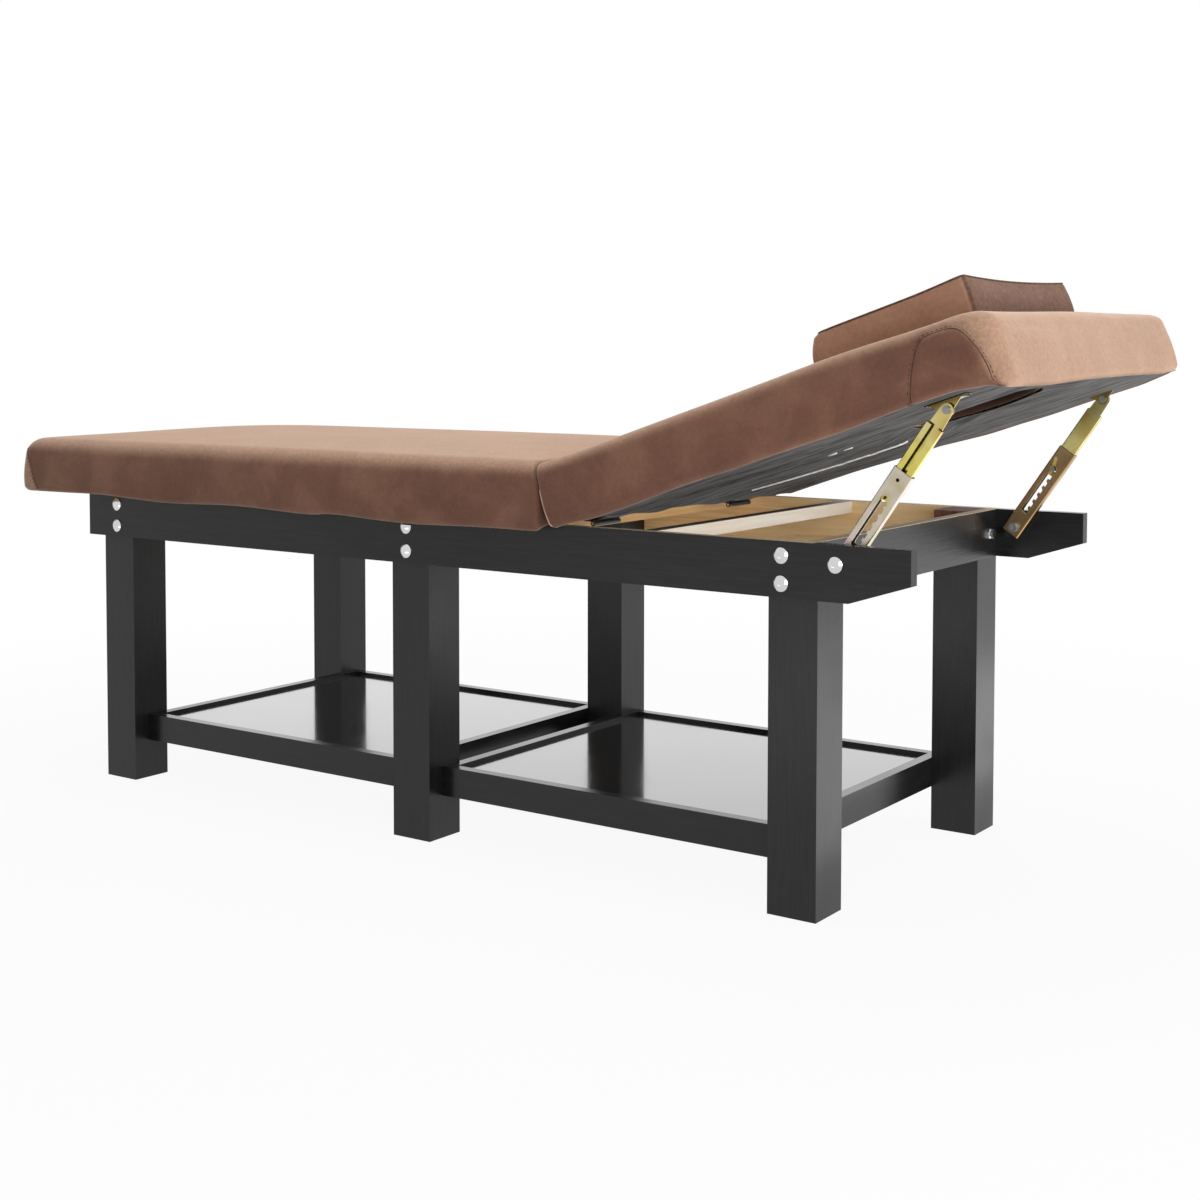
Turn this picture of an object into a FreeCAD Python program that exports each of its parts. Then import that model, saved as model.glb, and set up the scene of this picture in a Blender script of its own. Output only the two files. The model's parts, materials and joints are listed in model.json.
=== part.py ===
import FreeCAD, Part
import math
import os
from dataclasses import dataclass

from FreeCAD import Placement, Rotation, Vector

# Massage bed with a lifting backrest, in millimetres and degrees.
# X runs from the foot end to the head end, Y across the bed from near to far, Z up from the floor.
# Everything is laid out from the foot legs' outer faces (X 0) and the centre line (Y 0). The finished
# bed is then moved along X, so that the origin lies on the floor under the middle of its length.

# Wooden frame
LEG_SIDE = 75.0
FRAME_HEIGHT = 518.0
LEGS_WIDTH = 615.5          # over the legs' outer faces
FOOT_BAY = 616.0            # clear length between the foot legs and the middle legs
HEAD_BAY = 605.0            # clear length between the middle legs and the head legs
RAIL_THICK = 18.0
RAIL_HEIGHT = 76.5
RAIL_FOOT_OVERHANG = 21.0   # past the foot legs
RAIL_HEAD_OVERHANG = 143.0  # past the head legs
RAIL_CUT_LENGTH = 89.0      # slanted cut under the head end
RAIL_TIP_HEIGHT = 47.5      # what the cut leaves of the end
APRON_THICK = 18.0
SLAT_SIDE = 20.0
SLAT_FROM_LEG = 193.0       # from a leg's face to the slat's middle, two slats in each bay

# Shelves
SHELF_RAIL_HEIGHT = 47.0
SHELF_RAIL_THICK = 18.0
SHELF_TOP = 115.5           # floor to the top of the shelf rails
SHELF_INSET = 30.0          # from the legs' outer faces to the shelf's front
SHELF_PANEL_THICK = 9.0
SHELF_PANEL_SUNK = 6.0      # panel's top below the rails' tops
SHELF_GROOVE = 6.0          # depth of the grooves that hold the panel

# Frame fasteners
BOLT_RADIUS = 4.0
RAIL_BOLT_PITCH = 38.0      # between the two bolts of a leg
RAIL_BOLT_AT_FOOT = 54.0    # from each leg's foot-side face
RAIL_BOLT_AT_MIDDLE = 44.0
RAIL_BOLT_AT_HEAD = 29.0
BOLT_GRIP = 40.0            # length of a bolt inside the leg
DOME_RADIUS = 11.0
DOME_RIM = 1.6
DOME_HEIGHT = 5.6
INSERT_RADIUS = 6.0
INSERT_LENGTH = 22.0
INSERT_SUNK = 6.0
APRON_BOLT_FROM_RAIL = 26.0
HEX_ACROSS_FLATS = 13.0
HEX_HEIGHT = 5.5
HEX_FLANGE_RADIUS = 9.0
HEX_FLANGE_THICK = 1.5
WOOD_SCREW_RADIUS = 2.25
WOOD_SCREW_HEAD = 4.5
WOOD_SCREW_LENGTH = 45.0
SEAT_SCREW_LENGTH = 32.0
SEAT_SCREW_SPREAD = 220.0   # from the centre line
SMALL_SCREW_RADIUS = 1.75
SMALL_SCREW_HEAD = 3.5

# Pads
PAD_OVERHANG = 54.25        # pads beyond the legs, at each side
SEAT_HEIGHT = 95.0          # board's underside to the top at the edges, without the crown
SEAT_CROWN = 11.0
BACK_HEIGHT = 92.0
BACK_CROWN = 5.0
PAD_EDGE_ROUND = 24.0
PAD_JOIN_ROUND = 12.0       # edge round where the two pads meet
BACK_HEAD_ROUND = 56.0      # along the backrest, at its head end
SEAT_HEM = 7.0              # how far the cover hangs below the board
BACK_HEM = 14.0
PAD_BOTTOM_IN = 6.0         # how far the sides tuck in at the hem
PAD_BOTTOM_RISE = 10.0      # height over which they do
PAD_CORNER = 25.0
PAD_JOIN_CORNER = 9.0       # corner radius where the two pads meet
PAD_DRAW_IN = 3.0           # sides pulled in between the corners
BOARD_THICK = 15.0
COVER_THICK = 1.5
SEAT_FOOT_OVERHANG = 180.0  # past the foot legs
SEAT_SHORT_OF_HINGE = 12.0
SEAT_LEAN_FROM = 60.0       # height from which the seat's head end leans back against the backrest
BACK_START = 11.5           # from the hinge axis to the backrest's lower end
BACK_END = 736.0            # from the hinge axis to the backrest's head end
BACK_TILT = 19.0            # raised backrest, as stored
LINING_THICK = 0.8
LINING_INSET = 12.0
FACE_HOLE_RADIUS = 93.0
FACE_HOLE_FROM_HINGE = 542.0

# Pillow
PILLOW_FROM_HINGE = 526.0   # from the hinge axis to the pillow's middle
PILLOW_LENGTH = 256.0
PILLOW_WIDTH = 380.0
PILLOW_HEIGHT = 55.0        # at the edges, without the crown
PILLOW_CROWN = 3.0
PILLOW_EDGE_ROUND = 12.0
PILLOW_BOTTOM_IN = 4.0
PILLOW_BOTTOM_RISE = 8.0
PILLOW_CORNER = 14.0
PILLOW_DRAW_IN = 4.0

# Steps of the cushions' lofts
ROUND_ANGLES = (0, 30, 60, 90)      # round the edges, from the side to the top
CROWN_SHARES = (0.3, 0.62, 0.9)     # of the way from the edges to the middle
CORNER_SHARE = 0.4                  # largest corner radius, of an outline's half width
DRAW_IN_SHARE = 0.2                 # largest draw-in, of an outline's half width

# Hinges
HINGE_FROM_FOOT = 1028.0    # from the foot legs' outer faces to the hinge axis
HINGE_DROP = 5.0            # axis below the top of the frame
HINGE_SPREAD = 200.0        # from the centre line
KNUCKLE_RADIUS = 4.0
KNUCKLE_GAP = 0.3
HINGE_PIN_RADIUS = 2.0
LEAF_LENGTH = 52.0
LEAF_WIDTH = 70.0
LEAF_THICK = 2.0
LEAF_SCREW_NEAR = 33.0      # from the axis to the outer pair of screws
LEAF_SCREW_FAR = 44.0       # from the axis to the middle screw
LEAF_SCREW_SPREAD = 24.0
LEAF_SCREW_LENGTH = 14.0

# Ratchet struts
PIVOT_FROM_LEG = 35.0       # lower pivot, past the head legs' outer faces
PIVOT_DROP = 26.5           # lower pivot, below the top of the frame
EAR_FROM_HINGE = 623.0      # upper pivot, along the backrest
EAR_DROP = 24.4             # upper pivot, below the backrest board
SLEEVE_WIDTH = 30.0
SLEEVE_DEPTH = 12.0
SLEEVE_BELOW = 12.0         # past the lower pivot
SLEEVE_ABOVE = 152.0
SLEEVE_ROUND = 2.5
STRUT_SHEET = 1.5
STRUT_WASHER = 2.0          # between the rail and the sleeve
ROD_SIDE_GAP = 0.5          # between the rod and the sleeve, on each side
ROD_TAIL = 148.0            # from the upper pivot to the rod's lower end
ROD_SLIT = 8.0
TONGUE_LENGTH = 26.0        # flat end of the rod, up to the upper pivot
TONGUE_THICK = 2.2
TONGUE_RADIUS = 9.0
PAWL_FROM_EAR = 137.0       # from the upper pivot to the pawl pin
PAWL_RADIUS = 2.8
PAWL_HEAD_RADIUS = 4.5
PAWL_HEAD_THICK = 1.5
PAWL_TRAVEL = 3.5           # sideways, into a notch
LANE_OFFSET = 3.0           # clear lane of the slot, off the sleeve's middle line
LANE_CLEAR = 0.4            # beside the pawl pin
NOTCH_COUNT = 7
NOTCH_SLOPE = 5.0           # length of the slanted side of a notch
RELEASE_LENGTH = 16.0       # branch at the slot's upper end
RELEASE_RISE = 5.0
WINDOW_START = 26.0
WINDOW_END = 112.0
WINDOW_WIDTH = 13.0
SLEEVE_HOLE_AT = 139.0
SLEEVE_HOLE_RADIUS = 2.5
NUT_HEIGHT = 6.5
WASHER_RADIUS = 8.5
WASHER_THICK = 1.5
EAR_THICK = 2.5
EAR_BASE = 50.0
EAR_RADIUS = 8.5
BRACKET_DEPTH = 24.0
BRACKET_THICK = 2.0
BRACKET_SCREW_SPREAD = 16.0
BRACKET_SCREW_LENGTH = 26.0
BLOCK_THICK = 11.0          # wooden block under the bracket
BLOCK_MARGIN = 5.0          # block longer than the bracket, at each end
RIVET_RADIUS = 3.0
RIVET_HEAD_RADIUS = 5.5
RIVET_HEAD_THICK = 2.0
RIVET_COLLAR_RADIUS = 5.0

# Clearances
SOFT_GAP = 0.3              # between soft pieces, and under the backrest when it lies flat
BORE_GAP = 0.05             # between a fastener and its hole
TURN_GAP = 0.1              # between a pin and what turns on it

# Places worked out from the sizes above
MIDDLE_LEG_X = LEG_SIDE + FOOT_BAY
HEAD_LEG_X = MIDDLE_LEG_X + LEG_SIDE + HEAD_BAY
FRAME_END_X = HEAD_LEG_X + LEG_SIDE
SIDE_Y = LEGS_WIDTH / 2
PAD_WIDTH = LEGS_WIDTH + 2 * PAD_OVERHANG
RAIL_BOTTOM = FRAME_HEIGHT - RAIL_HEIGHT
RAIL_MIDDLE = FRAME_HEIGHT - RAIL_HEIGHT / 2
HINGE = Vector(HINGE_FROM_FOOT, 0, FRAME_HEIGHT - HINGE_DROP)
BACK_BOTTOM = FRAME_HEIGHT + LINING_THICK + SOFT_GAP
BACK_TOP = BACK_BOTTOM + BACK_HEIGHT + BACK_CROWN
LINING_BOTTOM = BACK_BOTTOM - LINING_THICK
BLOCK_BOTTOM = LINING_BOTTOM - BLOCK_THICK
FACE_HOLE_X = HINGE.x + FACE_HOLE_FROM_HINGE
PILLOW_X = HINGE.x + PILLOW_FROM_HINGE
PIVOT = Vector(FRAME_END_X + PIVOT_FROM_LEG, 0, FRAME_HEIGHT - PIVOT_DROP)
EAR_FLAT = Vector(HINGE.x + EAR_FROM_HINGE, 0, BACK_BOTTOM - EAR_DROP)
SIDES = {"near": -1.0, "far": 1.0}


def box(x0, x1, y0, y1, z0, z1):
    """Block between two corners."""
    return Part.makeBox(x1 - x0, y1 - y0, z1 - z0, Vector(x0, y0, z0))


def rod(radius, length, start, direction):
    """Round bar from a point along a direction."""
    return Part.makeCylinder(radius, length, start, direction)


def aimed(shape, start, direction):
    """Copy of a shape that was made along +Z from the origin, set at a point along a direction."""
    moved = shape.copy()
    moved.Placement = Placement(start, Rotation(Vector(0, 0, 1), direction))
    return moved


def prism(points, axis, start, depth):
    """Straight-sided plate: an outline of (a, b) points, pushed along Y or Z."""
    if axis == "y":
        corners = [Vector(a, start, b) for a, b in points]
        push = Vector(0, depth, 0)
    else:
        corners = [Vector(a, b, start) for a, b in points]
        push = Vector(0, 0, depth)
    face = Part.Face(Part.makePolygon(corners + corners[:1]))
    return face.extrude(push)


def mirrored(shape):
    """The same piece for the near side of the bed."""
    return shape.mirror(Vector(0, 0, 0), Vector(0, 1, 0))


def group(solids):
    """Separate solids in one node."""
    return Part.makeCompound(solids)


def raised(shape):
    """Piece of the flat backrest, turned up about the hinge axis."""
    turned = shape.copy()
    turned.rotate(HINGE, Vector(0, -1, 0), BACK_TILT)
    return turned


# Fasteners, made along +Z with the head's seat at Z 0 and the shank below it


def domed_bolt(length):
    """Bolt with a rimmed dome head."""
    dome_radius = (DOME_RADIUS ** 2 + (DOME_HEIGHT - DOME_RIM) ** 2) / (2 * (DOME_HEIGHT - DOME_RIM))
    half = math.asin(DOME_RADIUS / dome_radius) / 2
    mid = Vector(dome_radius * math.sin(half), 0, DOME_HEIGHT - dome_radius * (1 - math.cos(half)))
    foot = Vector(0, 0, -length)
    foot_edge = Vector(BOLT_RADIUS, 0, -length)
    neck = Vector(BOLT_RADIUS, 0, 0)
    seat_edge = Vector(DOME_RADIUS, 0, 0)
    rim = Vector(DOME_RADIUS, 0, DOME_RIM)
    crown = Vector(0, 0, DOME_HEIGHT)
    edges = [
        Part.makeLine(foot, foot_edge),
        Part.makeLine(foot_edge, neck),
        Part.makeLine(neck, seat_edge),
        Part.makeLine(seat_edge, rim),
        Part.Arc(rim, mid, crown).toShape(),
        Part.makeLine(crown, foot),
    ]
    return Part.Face(Part.Wire(edges)).revolve(Vector(0, 0, 0), Vector(0, 0, 1), 360)


def hexagon(height, start):
    """Six-sided block of the bolts' and nuts' width across flats."""
    corner = HEX_ACROSS_FLATS / math.sqrt(3)
    turns = [k * math.pi / 3 for k in range(6)]
    points = [(corner * math.cos(turn), corner * math.sin(turn)) for turn in turns]
    return prism(points, "z", start, height)


def hex_bolt(length):
    """Bolt with a flanged hex head."""
    head = rod(HEX_FLANGE_RADIUS, HEX_FLANGE_THICK, Vector(0, 0, 0), Vector(0, 0, 1))
    head = head.fuse(hexagon(HEX_HEIGHT, HEX_FLANGE_THICK))
    return head.fuse(rod(BOLT_RADIUS, length, Vector(0, 0, -length), Vector(0, 0, 1))).removeSplitter()


def screw(radius, head_radius, length, grow=0.0):
    """Countersunk screw with its head flush at Z 0, or its hole when it is grown."""
    head_depth = head_radius - radius
    cone = Part.makeCone(radius + grow, head_radius + grow, head_depth, Vector(0, 0, -head_depth))
    shank = rod(radius + grow, length, Vector(0, 0, -length), Vector(0, 0, 1))
    return cone.fuse(shank)


def wood_screw(length, grow=0.0):
    """Screw of the frame and the boards."""
    return screw(WOOD_SCREW_RADIUS, WOOD_SCREW_HEAD, length, grow)


def small_screw(length, grow=0.0):
    """Screw of the hinges and brackets."""
    return screw(SMALL_SCREW_RADIUS, SMALL_SCREW_HEAD, length, grow)


# Places of the fasteners, as (point on the outer face, direction out of the wood)


def rail_bolt_places(leg_x, along, side):
    """The two bolts that hold a rail to a leg."""
    x = leg_x + along
    return [(Vector(x, side * (SIDE_Y + RAIL_THICK), RAIL_MIDDLE + dz), Vector(0, side, 0))
            for dz in (-RAIL_BOLT_PITCH / 2, RAIL_BOLT_PITCH / 2)]


def apron_bolt_place(end_x, out, side):
    """The bolt that holds an apron to a leg."""
    return Vector(end_x, side * (SIDE_Y - APRON_BOLT_FROM_RAIL), RAIL_MIDDLE), Vector(out, 0, 0)


def shelf_screw_places(x0, x1):
    """The four screws that hold a shelf's end rails to the legs."""
    y = ((SIDE_Y - LEG_SIDE) + (SIDE_Y - SHELF_INSET - SHELF_RAIL_THICK)) / 2
    z = SHELF_TOP - SHELF_PANEL_SUNK - SHELF_PANEL_THICK - SHELF_RAIL_HEIGHT / 3
    return [(Vector(x, side * y, z), Vector(out, 0, 0))
            for x, out in ((x0 + SHELF_RAIL_THICK, 1), (x1 - SHELF_RAIL_THICK, -1))
            for side in SIDES.values()]


LEGS = {
    "foot": (0.0, RAIL_BOLT_AT_FOOT),
    "middle": (MIDDLE_LEG_X, RAIL_BOLT_AT_MIDDLE),
    "head": (HEAD_LEG_X, RAIL_BOLT_AT_HEAD),
}
BAYS = {
    "foot": (LEG_SIDE, MIDDLE_LEG_X),
    "head": (MIDDLE_LEG_X + LEG_SIDE, HEAD_LEG_X),
}
APRONS = {
    "foot": (0.0, -1.0),
    "head": (FRAME_END_X, 1.0),
}
SLATS = {
    f"{bay}_bay_slat_{end}": x
    for bay, (x0, x1) in BAYS.items()
    for end, x in (("footward", x0 + SLAT_FROM_LEG), ("headward", x1 - SLAT_FROM_LEG))
}


# Wooden frame


def leg(name, side):
    """Square leg, rebated at the ends of the bed, with its holes."""
    x, along = LEGS[name]
    y0, y1 = sorted((side * SIDE_Y, side * (SIDE_Y - LEG_SIDE)))
    solid = box(x, x + LEG_SIDE, y0, y1, 0, FRAME_HEIGHT)
    if name in APRONS:
        end_x, out = APRONS[name]
        solid = solid.cut(apron_block(end_x, out))
        start, direction = apron_bolt_place(end_x, out, side)
        solid = solid.cut(rod(BOLT_RADIUS + BORE_GAP, APRON_THICK + BOLT_GRIP, start, -direction))
    for start, direction in rail_bolt_places(x, along, side):
        depth = RAIL_THICK + BOLT_GRIP
        solid = solid.cut(rod(INSERT_RADIUS + BORE_GAP, depth, start, -direction))
    for x0, x1 in BAYS.values():
        for start, direction in shelf_screw_places(x0, x1):
            solid = solid.cut(aimed(wood_screw(WOOD_SCREW_LENGTH, BORE_GAP), start, direction))
    return solid


def side_rail(side):
    """Long rail on the outside of the legs, with a slanted lower corner at the head end."""
    x0 = -RAIL_FOOT_OVERHANG
    x1 = FRAME_END_X + RAIL_HEAD_OVERHANG
    outline = [
        (x0, RAIL_BOTTOM),
        (x1 - RAIL_CUT_LENGTH, RAIL_BOTTOM),
        (x1, FRAME_HEIGHT - RAIL_TIP_HEIGHT),
        (x1, FRAME_HEIGHT),
        (x0, FRAME_HEIGHT),
    ]
    solid = prism(outline, "y", side * SIDE_Y, side * RAIL_THICK)
    for x, along in LEGS.values():
        for start, direction in rail_bolt_places(x, along, side):
            solid = solid.cut(rod(BOLT_RADIUS + BORE_GAP, RAIL_THICK, start, -direction))
    pivot = Vector(PIVOT.x, side * SIDE_Y, PIVOT.z)
    return solid.cut(rod(BOLT_RADIUS + BORE_GAP, RAIL_THICK, pivot, Vector(0, side, 0)))


def apron_block(end_x, out):
    """Space of an apron, between the rails."""
    x0, x1 = sorted((end_x, end_x - out * APRON_THICK))
    return box(x0, x1, -SIDE_Y, SIDE_Y, RAIL_BOTTOM, FRAME_HEIGHT)


def apron(name):
    """Cross board that closes the frame at one end."""
    end_x, out = APRONS[name]
    solid = apron_block(end_x, out)
    for side in SIDES.values():
        start, direction = apron_bolt_place(end_x, out, side)
        solid = solid.cut(rod(BOLT_RADIUS + BORE_GAP, APRON_THICK, start, -direction))
    return solid


def seat_screw_places(x):
    """Two screws up through a slat into the seat board."""
    z = FRAME_HEIGHT - SLAT_SIDE
    return [(Vector(x, side * SEAT_SCREW_SPREAD, z), Vector(0, 0, -1)) for side in SIDES.values()]


def carries_seat(x):
    """Whether a slat lies under the seat board."""
    return x < HINGE.x - LEAF_LENGTH


def slat(x):
    """Cross slat between the rails."""
    half = SLAT_SIDE / 2
    solid = box(x - half, x + half, -SIDE_Y, SIDE_Y, FRAME_HEIGHT - SLAT_SIDE, FRAME_HEIGHT)
    if carries_seat(x):
        for start, direction in seat_screw_places(x):
            solid = solid.cut(aimed(wood_screw(SEAT_SCREW_LENGTH, BORE_GAP), start, direction))
    return solid


def shelf(name):
    """Rails and panel of one shelf, by node name."""
    x0, x1 = BAYS[name]
    outer = SIDE_Y - SHELF_INSET
    inner = outer - SHELF_RAIL_THICK
    z0 = SHELF_TOP - SHELF_RAIL_HEIGHT
    panel_top = SHELF_TOP - SHELF_PANEL_SUNK
    in_x0 = x0 + SHELF_RAIL_THICK
    in_x1 = x1 - SHELF_RAIL_THICK
    groove = box(in_x0 - SHELF_GROOVE, in_x1 + SHELF_GROOVE, -inner - SHELF_GROOVE, inner + SHELF_GROOVE,
                 panel_top - SHELF_PANEL_THICK, panel_top)
    rails = {
        "front_rail": box(x0, x1, -outer, -inner, z0, SHELF_TOP),
        "back_rail": box(x0, x1, inner, outer, z0, SHELF_TOP),
        "foot_rail": box(x0, in_x0, -inner, inner, z0, SHELF_TOP),
        "head_rail": box(in_x1, x1, -inner, inner, z0, SHELF_TOP),
    }
    pieces = {f"{name}_shelf_{key}": rail.cut(groove) for key, rail in rails.items()}
    for start, direction in shelf_screw_places(x0, x1):
        hole = aimed(wood_screw(WOOD_SCREW_LENGTH, BORE_GAP), start, direction)
        for key in ("foot_rail", "head_rail"):
            pieces[f"{name}_shelf_{key}"] = pieces[f"{name}_shelf_{key}"].cut(hole)
    pieces[f"{name}_shelf_panel"] = groove
    return pieces


def frame_fasteners():
    """Bolts, inserts and screws of the frame, by node name."""
    bolts = []
    inserts = []
    apron_bolts = []
    for side in SIDES.values():
        for x, along in LEGS.values():
            for start, direction in rail_bolt_places(x, along, side):
                bolts.append(aimed(domed_bolt(RAIL_THICK + BOLT_GRIP), start, direction))
                mouth = start - direction * (RAIL_THICK + INSERT_SUNK)
                sleeve = rod(INSERT_RADIUS, INSERT_LENGTH, mouth, -direction)
                inserts.append(sleeve.cut(rod(BOLT_RADIUS + BORE_GAP, INSERT_LENGTH, mouth, -direction)))
        for end_x, out in APRONS.values():
            start, direction = apron_bolt_place(end_x, out, side)
            apron_bolts.append(aimed(hex_bolt(APRON_THICK + BOLT_GRIP), start, direction))
    shelf_screws = [aimed(wood_screw(WOOD_SCREW_LENGTH), start, direction)
                    for x0, x1 in BAYS.values()
                    for start, direction in shelf_screw_places(x0, x1)]
    seat_screws = [aimed(wood_screw(SEAT_SCREW_LENGTH), start, direction)
                   for x in SLATS.values() if carries_seat(x)
                   for start, direction in seat_screw_places(x)]
    return {
        "rail_bolts": group(bolts),
        "rail_bolt_inserts": group(inserts),
        "apron_bolts": group(apron_bolts),
        "shelf_screws": group(shelf_screws),
        "seat_screws": group(seat_screws),
    }


# Pads: crowned cushions with rounded edges, their sides pulled in between the corners


@dataclass
class Cushion:
    """Upholstered block, lofted through level outlines of four side arcs and four corner arcs."""

    x0: float
    x1: float
    half_width: float
    bottom: float
    height: float
    crown: float
    edge_round: float
    foot_round: float
    head_round: float
    foot_corner: float
    head_corner: float
    draw_in: float
    bottom_in: float
    bottom_rise: float
    lean_from: float = 0.0
    lean_slope: float = 0.0

    def levels(self):
        """Rows of (share of the edge round taken in, plain inset, height above the bottom)."""
        rows = [(0.0, self.bottom_in, 0.0), (0.0, 0.0, self.bottom_rise)]
        if self.lean_slope:
            rows.append((0.0, 0.0, self.lean_from))
        for angle in ROUND_ANGLES:
            turn = math.radians(angle)
            rise = self.height - self.edge_round * (1 - math.sin(turn))
            rows.append((1 - math.cos(turn), 0.0, rise))
        reach = min(self.half_width, (self.x1 - self.x0) / 2) - self.edge_round
        for share in CROWN_SHARES:
            rise = self.height + self.crown * (1 - (1 - share) ** 2)
            rows.append((1.0, share * reach, rise))
        return rows

    def outline(self, level, shrink):
        """Closed wire of one level, taken in all round by a shrink."""
        taken, inset, rise = level
        lean = max(0.0, rise - self.lean_from) * self.lean_slope
        x0 = self.x0 + shrink + inset + taken * self.foot_round
        x1 = self.x1 - shrink - inset - taken * self.head_round - lean
        y = self.half_width - shrink - inset - taken * self.edge_round
        top = rise if rise < self.height / 2 else rise - shrink
        return self.wire(x0, x1, y, self.bottom + top)

    def wire(self, x0, x1, y, z):
        """Closed outline with the cushion's own corners and drawn-in sides."""
        return rounded_outline(x0, x1, y, self.foot_corner, self.head_corner, self.draw_in, z)

    def solid(self, shrink=0.0):
        """Closed cushion, or the space inside a cover of that thickness."""
        wires = [self.outline(level, shrink) for level in self.levels()]
        return Part.makeLoft(wires, True, True)

    def plate(self, shrink, z0, thick):
        """Flat board or sheet with the outline of the cushion's bottom."""
        x0 = self.x0 + shrink
        x1 = self.x1 - shrink
        wire = self.wire(x0, x1, self.half_width - shrink, z0)
        return Part.Face(wire).extrude(Vector(0, 0, thick))


def rounded_outline(x0, x1, y, foot_corner, head_corner, draw_in, z):
    """Four side arcs, pulled in at their middles, joined by four corner arcs."""
    half = min(y, (x1 - x0) / 2)
    pull = min(draw_in, DRAW_IN_SHARE * half)
    r = min(foot_corner, CORNER_SHARE * half)
    q = min(head_corner, CORNER_SHARE * half)
    c = r * (1 - math.sqrt(0.5))
    d = q * (1 - math.sqrt(0.5))
    xm = (x0 + x1) / 2
    nodes = [
        (x0 + r, -y), (xm, -y + pull), (x1 - q, -y), (x1 - d, -y + d),
        (x1, -y + q), (x1 - pull, 0), (x1, y - q), (x1 - d, y - d),
        (x1 - q, y), (xm, y - pull), (x0 + r, y), (x0 + c, y - c),
        (x0, y - r), (x0 + pull, 0), (x0, -y + r), (x0 + c, -y + c),
    ]
    points = [Vector(a, b, z) for a, b in nodes]
    points.append(points[0])
    arcs = [Part.Arc(*points[k:k + 3]).toShape() for k in range(0, len(nodes), 2)]
    return Part.Wire(arcs)


SEAT = Cushion(
    x0=-SEAT_FOOT_OVERHANG, x1=HINGE.x - SEAT_SHORT_OF_HINGE, half_width=PAD_WIDTH / 2,
    bottom=FRAME_HEIGHT - SEAT_HEM, height=SEAT_HEIGHT + SEAT_HEM, crown=SEAT_CROWN,
    edge_round=PAD_EDGE_ROUND, foot_round=PAD_EDGE_ROUND, head_round=PAD_JOIN_ROUND,
    foot_corner=PAD_CORNER, head_corner=PAD_JOIN_CORNER,
    draw_in=PAD_DRAW_IN, bottom_in=PAD_BOTTOM_IN, bottom_rise=PAD_BOTTOM_RISE,
    lean_from=SEAT_LEAN_FROM + SEAT_HEM, lean_slope=math.tan(math.radians(BACK_TILT)),
)
BACK = Cushion(
    x0=HINGE.x + BACK_START, x1=HINGE.x + BACK_END, half_width=PAD_WIDTH / 2,
    bottom=BACK_BOTTOM - BACK_HEM, height=BACK_HEIGHT + BACK_HEM, crown=BACK_CROWN,
    edge_round=PAD_EDGE_ROUND, foot_round=PAD_JOIN_ROUND, head_round=BACK_HEAD_ROUND,
    foot_corner=PAD_JOIN_CORNER, head_corner=PAD_CORNER,
    draw_in=PAD_DRAW_IN, bottom_in=PAD_BOTTOM_IN, bottom_rise=PAD_BOTTOM_RISE,
)
PILLOW = Cushion(
    x0=PILLOW_X - PILLOW_LENGTH / 2, x1=PILLOW_X + PILLOW_LENGTH / 2,
    half_width=PILLOW_WIDTH / 2, bottom=BACK_TOP + SOFT_GAP, height=PILLOW_HEIGHT, crown=PILLOW_CROWN,
    edge_round=PILLOW_EDGE_ROUND, foot_round=PILLOW_EDGE_ROUND, head_round=PILLOW_EDGE_ROUND,
    foot_corner=PILLOW_CORNER, head_corner=PILLOW_CORNER, draw_in=PILLOW_DRAW_IN,
    bottom_in=PILLOW_BOTTOM_IN, bottom_rise=PILLOW_BOTTOM_RISE,
)


def above(shape, z):
    """What lies above a level."""
    bounds = shape.BoundBox
    margin = BOARD_THICK
    low = box(bounds.XMin - margin, bounds.XMax + margin, bounds.YMin - margin, bounds.YMax + margin,
              bounds.ZMin - margin, z)
    return shape.cut(low)


def hemmed(cover, x0, x1, z):
    """Cover that hangs below a level only along its long sides and beyond an X span."""
    y = PAD_WIDTH / 2 - PAD_CORNER
    return cover.cut(box(x0, x1, -y, y, z - SEAT_HEM - BACK_HEM, z))


def face_hole(radius):
    """Round way through the flat backrest."""
    start = Vector(FACE_HOLE_X, 0, BACK_BOTTOM - BACK_HEIGHT)
    return rod(radius, 3 * BACK_HEIGHT, start, Vector(0, 0, 1))


def seat_pad():
    """Board, foam and cover of the seat, by node name."""
    board = SEAT.plate(COVER_THICK + SOFT_GAP + PAD_BOTTOM_IN, FRAME_HEIGHT, BOARD_THICK)
    for x in SLATS.values():
        if carries_seat(x):
            for start, direction in seat_screw_places(x):
                board = board.cut(aimed(wood_screw(SEAT_SCREW_LENGTH, BORE_GAP), start, direction))
    for side in SIDES.values():
        for start in leaf_screw_places(side, -1.0, FRAME_HEIGHT - LEAF_THICK):
            board = board.cut(aimed(small_screw(LEAF_SCREW_LENGTH, BORE_GAP), start, Vector(0, 0, -1)))
    cover = SEAT.solid().cut(SEAT.solid(COVER_THICK))
    return {
        "seat_board": board,
        "seat_foam": above(SEAT.solid(COVER_THICK + SOFT_GAP), FRAME_HEIGHT + BOARD_THICK),
        "seat_cover": hemmed(cover, SEAT.x0 + PAD_CORNER, SEAT.x1 + PAD_CORNER, FRAME_HEIGHT),
    }


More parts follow.
